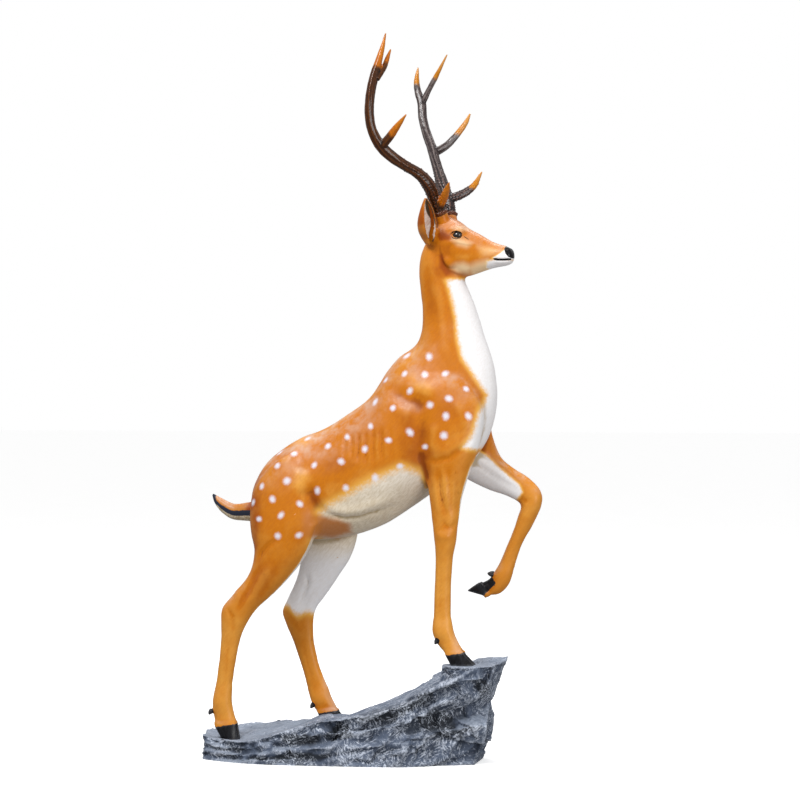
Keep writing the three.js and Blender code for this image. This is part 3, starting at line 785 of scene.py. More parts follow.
BODY_STROKES = strokes(
    ((106, 1050, 140, 1016, 180, 998, 222, 990, 236, 974), 21, -4.4),
    ((150, 1046, 188, 1034, 226, 1028, 262, 1030), 22, 3),
    ((128, 985, 160, 968, 196, 960), 24, 2.6),
    ((222, 960, 218, 900, 212, 850, 220, 806, 238, 765), 22, -3.2, BOTH, 60),
    ((214, 860, 212, 840, 220, 806, 238, 768), 7, -2.6, BOTH, 60),
    ((250, 940, 248, 895, 250, 855), 20, 3.5),
    ((222, 838, 255, 834, 292, 840, 320, 859, 339, 875, 357, 902), 7, -2.6, BOTH, 45),
    ((232, 858, 262, 856, 292, 864, 318, 882, 336, 904), 16, 2, BOTH, 45),
    ((300, 1000, 322, 975, 338, 945, 342, 915), 16, 3),
    ((262, 812, 268, 755, 276, 714, 287, 676), 7, -3.4, BOTH, 60),
    ((293, 816, 296, 755, 296, 714, 302, 680), 7, -3, BOTH, 60),
    ((278, 816, 283, 755, 290, 700), 7, 3.2, BOTH, 60),
    ((252, 800, 255, 740, 264, 690), 9, 2, BOTH, 60),
    ((316, 800, 312, 728, 309, 676), 6, -2.6, BOTH, 60),
    ((-6, 900, -3, 840), 6, -2.4),
    ((15, 908, 17, 838), 5.5, -2.8),
    ((35, 914, 36, 826), 5.5, -3.2),
    ((56, 918, 59, 820), 5.5, -3.4),
    ((78, 922, 82, 820), 5.5, -3.4),
    ((101, 928, 107, 826), 5.5, -3),
    ((126, 934, 134, 838), 5.5, -1.6),
    ((-58, 687, -32, 678, -4, 673, 31, 676, 96, 695, 153, 717), 6, -5),
    ((-60, 706, -30, 696, 0, 691, 34, 695, 96, 716, 150, 740), 13, 4),
    ((-104, 770, -94, 738, -80, 704, -56, 688), 15, -5),
    ((-120, 812, -122, 770, -116, 740), 20, 4.5),
    ((-62, 676, -96, 650, -106, 611, -120, 577, -138, 555), 7, 3, RIGHT, 30),
    ((-253, 542, -240, 574, -215, 598, -180, 618), 6, -3.2, RIGHT, 40),
    ((-232, 552, -262, 505, -288, 452, -318, 401), 8, -3, RIGHT, 40),
    ((-205, 548, -235, 500, -262, 455, -290, 425), 12, 3.2, RIGHT, 40),
    ((-345, 425, -325, 395, -322, 350), 6, -2.4, RIGHT, 40),
    ((-338, 330, -343, 262, -352, 190), 4, -2.2, RIGHT, 40),
    ((-126, 500, -160, 436, -178, 396), 6, -3.4, LEFT, 40),
    ((-205, 412, -190, 380, -186, 345), 6, -2.4, LEFT, 40),
    ((-172, 300, -158, 240, -142, 190), 4, -2, LEFT, 40),
    ((271, 676, 284, 655, 300, 650, 310, 674), 5, -2.4, RIGHT, 60),
    ((256, 640, 274, 626, 296, 632), 11, 3.6, RIGHT, 60),
    ((268, 560, 265, 480, 264, 400), 3.6, -2, RIGHT, 60),
    ((288, 560, 286, 480, 284, 410), 3.6, -1.2, RIGHT, 60),
    ((330, 830, 390, 790, 440, 765), 7, -2.6, LEFT, 60),
    ((478, 660, 448, 590, 420, 535), 4, -2, LEFT, 60),
    ((-300, 430, -320, 470, -300, 520), 8, 1.6, RIGHT, 40),
    ((262, 1330, 278, 1275, 290, 1215, 296, 1165, 312, 1110), 9, -1.8),
    ((240, 1340, 252, 1280, 262, 1210, 270, 1150, 290, 1095), 16, 2.6),
    ((212, 1400, 214, 1330, 222, 1260, 232, 1190), 14, -1.6),
)


@dataclass(frozen=True)
class InnerStroke(Stroke):
    """A stroke on a leg's inner side, which faces the stag's midline."""

    leg: Side = Side.LEFT

    def lift(self, points: Array, normals: Array) -> Array:
        """How far it moves each point out along its normal."""
        turned = normals * [1, -1, 1]
        moves = super().lift(points, turned)
        return moves * (points[:, 1] * self.leg.value > 15)


INNER_STROKES = strokes(
    ((-162, 512, -156, 479, -171, 442, -188, 401), 6, -3.4),
    ((-120, 492, -160, 432, -176, 396), 6, -2.6),
    ((-140, 520, -138, 480, -160, 432), 8, 2),
    ((320, 836, 377, 792, 428, 762, 456, 746), 5, -2.4),
    ((343, 852, 405, 810, 448, 777), 5, -2.2),
    ((330, 845, 390, 803, 440, 768), 5, 1.6),
    ((456, 731, 476, 718, 496, 722), 5, -2),
    ((478, 660, 448, 590, 420, 535), 4, -1.8),
    ((-172, 300, -158, 240, -142, 190), 4, -1.8),
    kind=InnerStroke,
)

# Antlers


@dataclass(frozen=True)
class Antler:
    """One antler: its beam, its tines and how far each end is rubbed pale."""

    side: Side
    beam: tuple[Row, ...]
    tines: tuple[tuple[Row, ...], ...]
    pale_ends: tuple[float, ...]
    burr_radius: float = 20.0
    burr_height: float = 11.0
    pedicle_radius: float = 18.0
    pedicle_drop: float = 40.0
    ridge: float = 0.027
    grain_width: float = 5.5
    lump_width: float = 15.0
    pitch: float = 1.5
    quick_pitch: float = 2.4

    def seat(self) -> tuple[Array, Array]:
        """The middle of the antler's seat on the head, and the way it leaves it."""
        start, after = np.array(self.beam[0][:3]), np.array(self.beam[1][:3])
        return start, (after - start) / np.linalg.norm(after - start)

    def pedicle(self) -> Skin:
        """The short stump on the head that carries the antler."""
        start, way = self.seat()
        rows = [
            (*(start - way * drop), self.pedicle_radius * swell)
            for drop, swell in ((self.pedicle_drop, 1.15), (12, 1.04), (1.5, 1.0), (0.8, 0.94))
        ]
        return rod(rows, 40, 4)

    def furrowed(self, rows: tuple[Row, ...], seed: int, sides: int = 72, steps: int = 14) -> Skin:
        """A branch with furrows running along it, which fade towards its end.

        Args:
            rows: x, y, z and radius at each point.
            seed: The seed of its furrows.
            sides: Points round each ring.
            steps: Rings from one row to the next.

        Returns:
            The closed surface.
        """
        rings, middle = rings_of(rod(list(rows), sides, steps), sides)
        turns = turning(sides)[None]
        along = np.linspace(0, 1, len(rings))[:, None] * len(rows)
        draws = np.random.default_rng(seed).uniform(0, 2 * math.pi, 8)
        wave = np.sin(7 * turns + draws[0] + 1.1 * np.sin(along + draws[1]))
        wave += 0.8 * np.sin(11 * turns + draws[2] + 1.4 * np.sin(1.3 * along + draws[3]))
        wave += 0.6 * np.sin(3 * turns + draws[4] + 0.9 * along)
        wave -= 0.7 * np.abs(np.sin(5 * turns + draws[5] + 0.6 * np.sin(2 * along + draws[6])))
        fade = ramp(np.linspace(1, 0, len(rings))[:, None], 0.02, 0.3)
        return lofted(middle + (rings - middle) * (1 + self.ridge * ((wave - 1.2) * fade)[..., None]))

    def burr(self, sides: int = 96) -> Skin:
        """The knobbly crown round the antler's foot.

        Args:
            sides: Points round each ring.

        Returns:
            The closed surface.
        """
        start, way = self.seat()
        shape = ((0.0, 0.86), (0.16, 1.0), (0.5, 1.06), (0.82, 1.0), (1.0, 0.84), (1.3, 0.7))
        rows = [(*(start + way * self.burr_height * h), self.burr_radius * r) for h, r in shape]
        rings, middle = rings_of(rod(rows, sides, 5), sides)
        turns = turning(sides)[None]
        knobs = 0.045 * np.sin(13 * turns) + 0.03 * np.sin(8 * turns + 1.3) + 0.02 * np.sin(21 * turns)
        swell = np.sin(np.linspace(0, math.pi, len(rings)))[:, None]
        return lofted(middle + (rings - middle) * (1 + (knobs * swell)[..., None]))

    def build(self) -> Object:
        """The whole antler, in one surface with masks for its finish."""
        name = f"antler_{self.side.name.lower()}_horn"
        branches = (self.beam, *self.tines)
        parts = [self.furrowed(rows, 11 * i + self.side.value + 5) for i, rows in enumerate(branches)]
        thing = as_object(joined([*parts, self.burr()]), name)
        remeshed(thing, self.pitch)
        web = Web(thing)
        points = web.smoothed(points_of(thing), 2, 0.4)
        start, way = self.seat()
        below = np.minimum((points - start) @ way - 0.2, 0)
        set_points(thing, points - below[:, None] * way)
        self.pit(thing)
        self.mark(thing, web)
        return thing

    def pit(self, thing: Object) -> None:
        """Roughens the lower antler with small bumps and pits.

        Args:
            thing: The object.
        """
        points, normals = points_of(thing), normals_of(thing)
        low = self.lowness(points)
        grain = np.array([noise.noise(Vector(point / self.grain_width)) for point in points])
        coarse = np.array([noise.noise(Vector(point / self.lump_width)) for point in points])
        move = (0.2 + 0.6 * low) * grain + 0.5 * (coarse - 0.6)
        start, way = self.seat()
        move *= ramp((points - start) @ way, 0.5, 4)
        set_points(thing, points + move[:, None] * normals)

    def lowness(self, points: Array) -> Array:
        """A mask that is 1 at the antler's foot and fades out up the beam."""
        start, _ = self.seat()
        return ramp(np.linalg.norm(points - start, axis=1), 230, 30)

    def mark(self, thing: Object, web: Web) -> None:
        """Keeps the masks that the antler's finish reads.

        Args:
            thing: The object.
            web: Its neighbours.
        """
        points = points_of(thing)
        paleness = np.zeros(len(points))
        for branch, length in zip((self.beam, *self.tines), self.pale_ends):
            path = np.array([row[:3] for row in branch])
            beside, _ = distance_to_line(points, path)
            away = np.linalg.norm(points - path[-1], axis=1)
            ended = np.clip(0.5 + (length - away) / 80, 0, 1)
            paleness = np.maximum(paleness, ended * ramp(beside, 19, 14))
        set_mask(thing, "pale_end", paleness)
        set_mask(thing, "foot", self.lowness(points))
        start, way = self.seat()
        set_mask(thing, "collar", ramp((points - start) @ way, 16, 5))
        set_mask(thing, "relief", relief_of(thing, web, 10, 0.5))


def relief_of(thing: Object, web: Web, rounds: int, limit: float) -> Array:
    """Tells ridges from hollows.

    Args:
        thing: The object.
        web: Its neighbours.
        rounds: How widely each point is set against what surrounds it.
        limit: The height, in millimetres, that counts as fully raised.

    Returns:
        1 on ridges, 0 in hollows and 0.5 on even ground.
    """
    points = points_of(thing)
    raised = ((points - web.smoothed(points, rounds)) * normals_of(thing)).sum(1)
    return 0.5 + web.smoothed(raised, 1) / limit / 2


ANTLERS = (
    Antler(
        Side.RIGHT,
        beam=(
            (252, -32, 1513, 17), (240, -48, 1552, 19), (227, -72, 1590, 19), (205, -98, 1619, 16),
            (172, -130, 1641, 15), (140, -156, 1665, 16.5), (116, -178, 1692, 16), (100, -196, 1728, 14),
            (94, -207, 1772, 13.5), (97, -208, 1824, 13.5), (105, -199, 1874, 13),
            (115, -190, 1915, 10.5), (124, -180, 1956, 6.5), (131, -172, 1996, 2),
        ),
        tines=(
            ((112, -198, 1868, 10), (128, -178, 1903, 8.5), (134, -164, 1930, 6.5), (140, -152, 1955, 2)),
            ((118, -176, 1684, 13), (147, -186, 1714, 12), (171, -195, 1741, 9), (197, -205, 1769, 2)),
            ((248, -40, 1528, 12), (264, -56, 1550, 12), (278, -76, 1573, 9.5), (291, -97, 1594, 2)),
        ),
        pale_ends=(100, 50, 72, 76),
    ),
    Antler(
        Side.LEFT,
        beam=(
            (264, 34, 1511, 17), (256, 46, 1551, 18), (236, 66, 1598, 19), (218, 90, 1643, 15.5),
            (202, 114, 1682, 15), (188, 134, 1718, 15), (168, 156, 1760, 14), (152, 174, 1808, 13.5),
            (146, 186, 1852, 13.5), (133, 192, 1888, 10.5), (129, 195, 1922, 8), (133, 196, 1958, 2),
        ),
        tines=(
            ((150, 184, 1856, 10), (171, 178, 1893, 8.5), (193, 168, 1926, 7.5), (229, 150, 1984, 2)),
            (
                (196, 128, 1702, 13), (228, 142, 1723, 11.5), (254, 153, 1752, 10), (278, 164, 1786, 8),
                (292, 170, 1816, 2.5),
            ),
            (
                (252, 44, 1560, 13), (286, 58, 1573, 13), (310, 69, 1588, 11.5), (326, 78, 1606, 9),
                (343, 90, 1641, 2),
            ),
        ),
        pale_ends=(52, 78, 75, 60),
    ),
)


# Painted marks, in side view


@dataclass(frozen=True)
class Patch:
    """A painted patch with a soft edge, its outline a run of x and z in side view."""

    outline: Row
    soft: float
    amount: float = 1.0
    sides: tuple[Side, ...] = BOTH
    least_y: float = -1.0

    def mask(self, points: Array) -> Array:
        """How strongly each point is painted."""
        covered = self.amount * inside(points[:, [0, 2]], pairs(self.outline), self.soft)
        here = sum(points[:, 1] * side.value >= self.least_y for side in self.sides) > 0
        return covered * here


def patches(*rows: tuple) -> list[Patch]:
    """Patches, each given by its fields in order."""
    return [Patch(*row) for row in rows]


def painted(marks: list[Patch], points: Array) -> Array:
    """The strongest of several patches at each point."""
    return np.max([mark.mask(points) for mark in marks], axis=0)


CREAM_PATCHES = patches(
    ((248, 1352, 258, 1345, 273, 1322, 287, 1273, 299, 1215, 304, 1168, 319, 1113, 346, 1074, 384, 1014,
      369, 964, 355, 907, 329, 870, 420, 850, 520, 1000, 520, 1368, 300, 1368), 19),
    ((-84, 676, -78, 690, -52, 712, -1, 738, 46, 766, 100, 792, 160, 818, 200, 806, 222, 786, 232, 754,
      240, 700, 160, 560, -100, 560), 38, 1, RIGHT),
    ((-34, 690, -16, 722, 46, 766, 100, 792, 160, 818, 200, 806, 222, 786, 232, 754, 240, 700, 160, 560,
      -40, 560), 38, 1, LEFT),
)
ARM_ORANGE = Patch((300, 840, 330, 872, 352, 905, 378, 935, 412, 930, 412, 820), 9, 1.0, LEFT)
RAISED_ARM = Patch(
    (236, 900, 330, 872, 368, 845, 400, 812, 432, 785, 458, 764, 466, 744, 448, 722, 420, 716, 366, 728,
     300, 760, 226, 800), 9
)
# A painted shadow: the brown patch in the fold between the belly and the front of the thigh.
THIGH_FOLD_SHADOW = patches(
    ((-120, 690, -80, 682, -30, 670, 6, 656, -2, 630, -60, 610, -120, 622), 18),
)
FACE_CREAM = patches(
    ((405, 1389, 418, 1396, 430, 1404, 441, 1414, 470, 1418, 470, 1384, 430, 1384), 5),
    ((390, 1380, 408, 1386, 470, 1384, 470, 1350, 400, 1350, 384, 1362), 9, 0.95),
)
FACE_BUFF_AND_BROW_HIGHLIGHT = patches(
    ((336, 1366, 362, 1376, 392, 1384, 412, 1350, 340, 1336), 15, 0.9),
    ((292, 1364, 306, 1374, 326, 1376, 342, 1370, 350, 1360, 332, 1348, 302, 1352), 13, 0.95),
    ((300, 1441, 316, 1443, 330, 1438, 346, 1429, 336, 1421, 314, 1427), 13, 0.85),
    # A painted highlight on the brow, above the eye.
    ((296, 1472, 316, 1481, 334, 1470, 322, 1464, 306, 1469), 11, 0.6),
    ((370, 1420, 400, 1418, 428, 1410, 410, 1398, 384, 1396), 16, 0.4),
)
# Painted light and shade on the orange: deep patches where shade falls, at the thigh's back edge, behind the
# shoulder and the elbow and in the folds; pale ones where light falls, on the back, the hip, the shoulder and
# the legs.
BODY_TONES_LIGHT_AND_SHADE = patches(
    ((-180, 900, -90, 940, -20, 985, 60, 1040, 50, 1000, -40, 930, -130, 880), 26, 0.55),
    ((60, 1010, 120, 1110, 180, 1160, 196, 1200, 236, 1150, 180, 1080, 110, 1010), 30, 0.35),
    ((-150, 815, -112, 812, -92, 762, -118, 722, -150, 760), 20, 0.75),
    ((180, 1062, 230, 1052, 262, 1030, 230, 1010, 178, 1030), 24, 0.6),
    ((-70, 720, -20, 750, 60, 770, 110, 800, 60, 810, -30, 780, -80, 745), 24, 0.4),
    ((-190, 900, -150, 905, -120, 880, -150, 860, -190, 870), 18, 0.4),
    ((-66, 845, -20, 850, 20, 820, 0, 790, -60, 800), 34, -0.4),
    ((-320, 730, -296, 760, -262, 640, -268, 560, -300, 560), 18, -0.9),
    ((-110, 770, -76, 760, -46, 708, -56, 688, -104, 715), 20, -0.7),
    ((126, 1030, 170, 1006, 222, 990, 218, 970, 166, 984, 126, 1008), 24, -0.45),
    ((196, 930, 232, 930, 246, 770, 200, 790), 26, -0.5, BOTH, 50),
    ((-250, 560, -160, 560, -230, 440, -310, 420, -330, 450), 26, -0.3),
    ((238, 790, 330, 800, 318, 660, 250, 650), 20, 0.45, BOTH, 50),
    ((452, 770, 510, 770, 530, 690, 470, 680), 16, 0.4),
    ((280, 940, 350, 960, 352, 900, 290, 880), 18, 0.45),
    ((-450, 690, -300, 690, -300, 735, -450, 760), 8, -0.5),
    ((200, 1220, 240, 1220, 262, 1130, 220, 1110), 24, 0.35),
    ((-380, 400, -280, 400, -300, 90, -420, 90), 30, 0.5),
    ((230, 620, 310, 620, 340, 290, 240, 290), 30, 0.5),
    ((430, 690, 530, 690, 450, 500, 370, 500), 24, 0.15),
    ((-220, 360, -100, 360, -60, 90, -170, 90), 30, 0.2),
    ((-290, 840, -262, 860, -240, 640, -262, 560, -300, 600), 20, -0.7),
    ((150, 960, 190, 960, 205, 800, 150, 830), 20, -0.4, BOTH, 40),
    ((20, 915, 110, 935, 112, 895, 20, 880), 22, -0.35),
    ((228, 846, 290, 850, 340, 876, 356, 910, 330, 884, 290, 862, 232, 860), 14, -0.5),
    ((240, 1040, 300, 1020, 340, 960, 300, 900, 250, 930), 40, -0.3, BOTH, 50),
    ((200, 1330, 240, 1340, 256, 1200, 250, 1120, 214, 1140), 30, -0.35),
)
# The face's tones, with painted shade between the ear and the eye and behind the cheek.
FACE_TONES_AND_SHADE = patches(
    ((232, 1512, 262, 1516, 300, 1502, 340, 1478, 380, 1450, 340, 1462, 290, 1482), 10, -0.35),
    ((254, 1452, 262, 1462, 284, 1452, 286, 1444, 262, 1442), 7, -1),
    ((356, 1424, 400, 1420, 432, 1412, 412, 1396, 372, 1390), 12, 0.5),
    ((300, 1400, 350, 1404, 372, 1392, 340, 1382, 300, 1384), 12, 0.4),
    ((262, 1430, 292, 1424, 296, 1396, 268, 1390), 10, -0.4),
    ((256, 1400, 266, 1400, 276, 1366, 290, 1348, 276, 1344, 260, 1366), 8, -0.8),
    ((240, 1372, 262, 1366, 274, 1344, 262, 1330, 240, 1345), 14, -0.3),
)
FACE_SHADES = patches(
    ((256, 1472, 268, 1474, 278, 1462, 282, 1448, 264, 1440, 255, 1454), 8, 0.85),
    ((240, 1440, 256, 1440, 254, 1400, 246, 1392, 240, 1410), 10, 0.35),
)
FACE_SHADE_LINES = strokes(
    ((259, 1440, 260, 1409, 271, 1374, 283, 1357, 305, 1347, 337, 1342), 4.2, 0.8, BOTH, 0, -0.2),
    ((300, 1462, 292, 1456, 286, 1448), 4, 0.5),
)
EAR_HAIR = ((0.05, 0.2, 0.5, 0.98), (0.5, 0.35, 0.0, -0.45), (0.1, 0.5, 0.8, 0.36))
NOSE_PAD = Patch((438.5, 1426, 438, 1412, 442, 1401, 450, 1391, 462, 1386, 480, 1392, 480, 1430), 2.2)
FACE_LINES = strokes(
    ((406, 1388, 412, 1386, 421, 1384.5, 439, 1384, 453, 1385, 466, 1386), 2.8, 1),
    ((291, 1454, 298, 1461, 309, 1463.5, 319, 1460.5, 326, 1452.5), 1.4, 1, BOTH, 0, -0.2),
    ((326, 1451.5, 318, 1445, 309, 1442.5, 299, 1445, 291, 1453), 1.2, 0.8, BOTH, 0, -0.2),
    ((324, 1451, 333, 1445.5, 344, 1438), 1.3, 0.55),
    ((291, 1454, 284, 1452.5, 278, 1452), 1.4, 0.4),
    ((454, 1372, 462, 1374), 2, 0.3),
)
HOCK_HEIGHT = 394.0
HOCK_BLEND = 28.0
SPOTS: tuple[Row, ...] = (
    (-126, -46, 891), (-56, -87, 872), (0, -90, 898), (-154, -88, 851), (-209, -43, 851),
    (-200, -100, 818), (-92, -102, 820), (-13, -109, 830), (-166, -115, 775), (-242, -104, 759),
    (-205, -122, 725), (-81, -111, 748), (3, -114, 758), (-128, -117, 712), (-262, -90, 712),
    (-245, -117, 669), (-180, -127, 680), (-188, -129, 624), (-130, -119, 627), (-273, -81, 594),
    (158, -39, 1122), (227, -69, 1118), (159, -72, 1072), (220, -84, 1069), (275, -79, 1071),
    (101, -52, 1055), (179, -91, 1025), (334, -83, 1030), (292, -106, 1005), (239, -107, 986),
    (74, -70, 994), (133, -99, 978), (285, -112, 956), (344, -102, 956), (70, -98, 928), (183, -109, 912),
    (125, -114, 890), (57, -112, 865), (280, -116, 902), (227, -104, 872), (156, -111, 819),
    (86, -117, 786),
)

# The stag as cast and painted


@dataclass
class Figure:
    """The stag from tail to nose, cast as one and painted."""

    form_pitch: float = 6.0
    pitch: float = 2.2
    quick_pitch: float = 4.2
    most_triangles: int = 190_000
    spot_radius: Point = (8.5, 11.0)
    spot_squeeze: Point = (0.85, 1.18)
    spot_shift: float = 9.0
    wave_width: float = 46.0
    wave_height: float = 0.55
    streak_widths: Row = (9.0, 9.0, 24.0)
    streak_height: float = 0.28
    plain_weight: float = 0.96
    fine_weight: float = 0.3
    legs: tuple[list[Row], ...] = (RIGHT_HIND, LEFT_HIND, RIGHT_FORE, LEFT_FORE)

    def form(self) -> Skin:
        """The body, neck and legs as one soft form, its joints filled in as a modeller would.

        Returns:
            The closed surface.
        """
        parts = [limb(TRUNK, 64, 8), limb(TAIL, 28)]
        parts += [limb(rows, 36) for rows in self.legs]
        head = limb(HEAD, 36)
        parts.append(Skin(with_head(head.points), head.faces))
        thing = as_object(joined(parts), "form")
        remeshed(thing, self.form_pitch)
        web = Web(thing)
        points = points_of(thing)
        for _ in range(3):
            hollow = ((web.mean(points) - points) * normals_of(thing)).sum(1)
            valley = web.smoothed(ramp(hollow, 0.06, 0.5), 6)
            points = web.smoothed(points, 14, np.clip(1.6 * valley, 0, 0.7))
            set_points(thing, points)
        points = web.smoothed(points, 3, 0.5)
        faces = [tuple(polygon.vertices) for polygon in thing.data.polygons]
        bpy.data.objects.remove(thing)
        return Skin(points, faces)

    def build(self) -> Object:
        """The whole figure, modelled and marked for painting."""
        parts = [self.form(), limb(TAIL, 40), Head().skin()]
        parts += [limb(rows[-4:], 36) for rows in self.legs]
        parts += [skin for foot in FEET for skin in (*foot.claws(), *foot.dewclaws())]
        parts += [antler.pedicle() for antler in ANTLERS]
        thing = as_object(joined(parts), "deer_coat")
        remeshed(thing, self.pitch)
        web = Web(thing)
        points = points_of(thing)
        kept = np.maximum(self.horn(points), self.face(points))
        set_points(thing, web.smoothed(points, 8, 0.6 * (1 - kept)))
        modelled(thing, [*BODY_STROKES, *INNER_STROKES])
        self.hand_worked(thing, kept)
        set_points(thing, web.smoothed(points_of(thing), 2, 0.5 * (1 - kept)))
        self.thinned(thing, np.maximum(kept, self.spots(points_of(thing)) > 0.2))
        self.mark(thing)
        return thing

    def horn(self, points: Array) -> Array:
        """A mask of the hooves and dewclaws."""
        return np.max([foot.horn(points) for foot in FEET], axis=0)

    def face(self, points: Array) -> Array:
        """A mask of the head and ears, finer than the rest."""
        local = from_head(points)
        fore = ramp(local[:, 0], 236, 262) * ramp(local[:, 2], 1325, 1350)
        return np.maximum(fore, ramp(local[:, 2], 1470, 1490))

    def hand_worked(self, thing: Object, kept: Array) -> None:
        """Gives the smooth coat the faint unevenness of a form modelled by hand."""
        points, normals = points_of(thing), normals_of(thing)
        wide = np.array([noise.noise(Vector(point / self.wave_width)) for point in points])
        streaks = points * [1 / width for width in self.streak_widths]
        fine = np.array([noise.noise(Vector(point)) for point in streaks])
        move = (self.wave_height * wide + self.streak_height * fine) * (1 - kept)
        set_points(thing, points + move[:, None] * normals)

    def thinned(self, thing: Object, kept: Array) -> None:
        """Merges faces where the surface is plain, least of all on the head and the hooves.

        Args:
            thing: The object.
            kept: 1 where the faces stay fine.
        """
        faces = 2 * len(thing.data.polygons)
        if faces <= self.most_triangles:
            return
        group = thing.vertex_groups.new(name="plain")
        for weight, chosen in ((self.plain_weight, kept < 0.5), (self.fine_weight, kept >= 0.5)):
            group.add(np.flatnonzero(chosen).tolist(), weight, "REPLACE")
        fewer = thing.modifiers.new("fewer", "DECIMATE")
        fewer.ratio = self.most_triangles / faces
        fewer.vertex_group = group.name
        settled(thing)
        thing.vertex_groups.clear()

    def mark(self, thing: Object) -> None:
        """Keeps the masks that the coat's paint reads.

        Args:
            thing: The object.
        """
        web = Web(thing)
        points, normals = points_of(thing), normals_of(thing)
        local = from_head(points)
        turned = normals @ HEAD_TURN
        head = ramp(local[:, 2], 1322, 1345) * ramp(local[:, 0], 225, 245)
        ears = self.inside_ears(local, turned)
        marks = {
            "horn": self.horn(points),
            "cream": self.cream(points, normals, local, head),
            "spot": self.spots(points),
            "tone": self.tone(points, local, head),
            "black": self.black(local, turned, head),
            "ear": ears[0],
            "ear_hair": ears[1],
            "shade": self.shade(local, turned, head),
            "buff": painted(FACE_BUFF_AND_BROW_HIGHLIGHT, local) * head,
            "tail_dark": self.tail_band(points, 0.30, 0.60, 0.94),
            "tail_pale": self.tail_band(points, -2.0, 0.34, 1.2),
            # A painted shadow in the fold before the thigh.
            "brown": painted(THIGH_FOLD_SHADOW, points),
            "relief": relief_of(thing, web, 14, 2.6),
        }
        for name, values in marks.items():
            set_mask(thing, name, values)

    def cream(self, points: Array, normals: Array, local: Array, head: Array) -> Array:
        """A mask of the throat, chest, belly and inner legs."""
        body = CREAM_PATCHES[0].mask(points) * (1 - ARM_ORANGE.mask(points) * (points[:, 1] > 12))
        under = painted(CREAM_PATCHES[1:], points)
        arm = (np.abs(points[:, 1]) > 52) & (normals[:, 1] * points[:, 1] > 0)
        under *= 1 - arm * ramp(points[:, 0], 206, 228)
        muzzle = painted(FACE_CREAM, local) * head
        return np.max([body * (1 - head), under, muzzle, self.inner_legs(points, normals)], axis=0)

    def inner_legs(self, points: Array, normals: Array) -> Array:
        """A mask of the legs' inner sides, above the hocks and under the raised forearm.

        Args:
            points: The surface's points.
            normals: Their normals.

        Returns:
            1 where the legs are pale.
        """
        x, y, z = points.T
        inward = -normals[:, 1] * np.sign(y) + 0.45 * np.maximum(normals[:, 0], 0)
        turned = ramp(inward, -0.15, 0.3)
        slanted = z + 0.3 * (x + 190) + 9 * np.sin(x / 11)
        hind = ramp(slanted, HOCK_HEIGHT - HOCK_BLEND, HOCK_HEIGHT + HOCK_BLEND)
        hind *= ramp(z, 730, 670) * (x < 0)
        fore = (x > 150) * (y < 0) * ramp(z, 640, 730) * ramp(z, 860, 800)
        raised = RAISED_ARM.mask(points) * (y > 0)
        return np.maximum(turned * np.maximum(hind, 0.8 * fore), ramp(inward, -0.5, 0.1) * raised)

    def spots(self, points: Array) -> Array:
        """A field that passes 0.5 at each pale spot's edge, on both sides of the body.

        Args:
            points: The surface's points.

        Returns:
            The field at each point.
        """
        draw = np.random.default_rng(8)
        tree = KDTree(len(points))
        for i, point in enumerate(points):
            tree.insert(point, i)
        tree.balance()
        field_now = np.zeros(len(points))
        for side in Side:
            for x, y, z in SPOTS:
                shift = draw.uniform(-self.spot_shift, self.spot_shift, 2) * (side is Side.LEFT)
                middle, _, _ = tree.find((x + shift[0], -y * side.value, z + shift[1]))
                radius = draw.uniform(*self.spot_radius)
                lean, squeeze = draw.uniform(0, math.pi), draw.uniform(*self.spot_squeeze)
                for place, i, _ in tree.find_range(middle, 2.4 * radius):
                    away = place - middle
                    first = away.x * math.cos(lean) + away.z * math.sin(lean)
                    second = away.z * math.cos(lean) - away.x * math.sin(lean)
                    reach = math.hypot(first * squeeze, second / squeeze, away.y) / radius
                    field_now[i] = max(field_now[i], 1 - reach / 2)
        return field_now

    def tone(self, points: Array, local: Array, head: Array) -> Array:
        """The orange's tone: 0 deep, 0.5 even, 1 pale, with painted shade and painted light in patches, and
        darker on the ears.
        """
        body = sum(patch.mask(points) for patch in BODY_TONES_LIGHT_AND_SHADE)
        face = sum(patch.mask(local) for patch in FACE_TONES_AND_SHADE)
        ears = ramp(np.abs(local[:, 1]), 46, 54) * ramp(local[:, 2], 1425, 1450)
        return 0.5 + 0.5 * (np.where(head > 0.5, face, body) - 0.7 * ears)

    def black(self, local: Array, turned: Array, head: Array) -> Array:
        """A mask of the nose pad and of the lines of mouth and eyes."""
        pad = NOSE_PAD.mask(local)
        lines = np.max([line.lift(local, turned) for line in FACE_LINES], axis=0)
        return np.maximum(pad, np.clip(1.3 * lines, 0, 1)) * head

    def inside_ears(self, local: Array, turned: Array) -> tuple[Array, Array]:
        """Masks of the hollows of both ears and of the pale hair down their middles.

        Args:
            local: The points in the head's own frame.
            turned: Their normals in that frame.

        Returns:
            The two masks.
        """
        hollow, hair = np.zeros(len(local)), np.zeros(len(local))
        for ear in EARS:
            along, across, out = ear.places(local)
            _, way, opens, _ = ear.axes()
            shares = np.linspace(0, 1, len(ear.shape))
            wide, deep = (np.interp(along, shares, column) for column in np.transpose(ear.shape))
            within = np.hypot(across / wide, out / deep) < 1 - 0.12 / wide
            here = (along > 0.02) & (along < 1.1) & within & (out < 0.14)
            here &= local[:, 1] * ear.side.value > 30
            faces = ramp(turned @ opens - 0.2 * np.abs(turned @ way), 0.05, 0.4)
            hollow = np.maximum(hollow, here * faces * ramp(along, 1.02, 0.95))
            inner = -ear.side.value * across
            middle = np.interp(along, EAR_HAIR[0], EAR_HAIR[1])
            reach = np.interp(along, EAR_HAIR[0], EAR_HAIR[2])
            hair = np.maximum(hair, here * faces * ramp(np.abs(inner - middle) - reach, 0.12, -0.1))
        return hollow, hair

    def shade(self, local: Array, turned: Array, head: Array) -> Array:
        """A mask of the face's red-brown shading."""
        lines = np.max([line.lift(local, turned) for line in FACE_SHADE_LINES], axis=0)
        return np.maximum(painted(FACE_SHADES, local), lines) * head

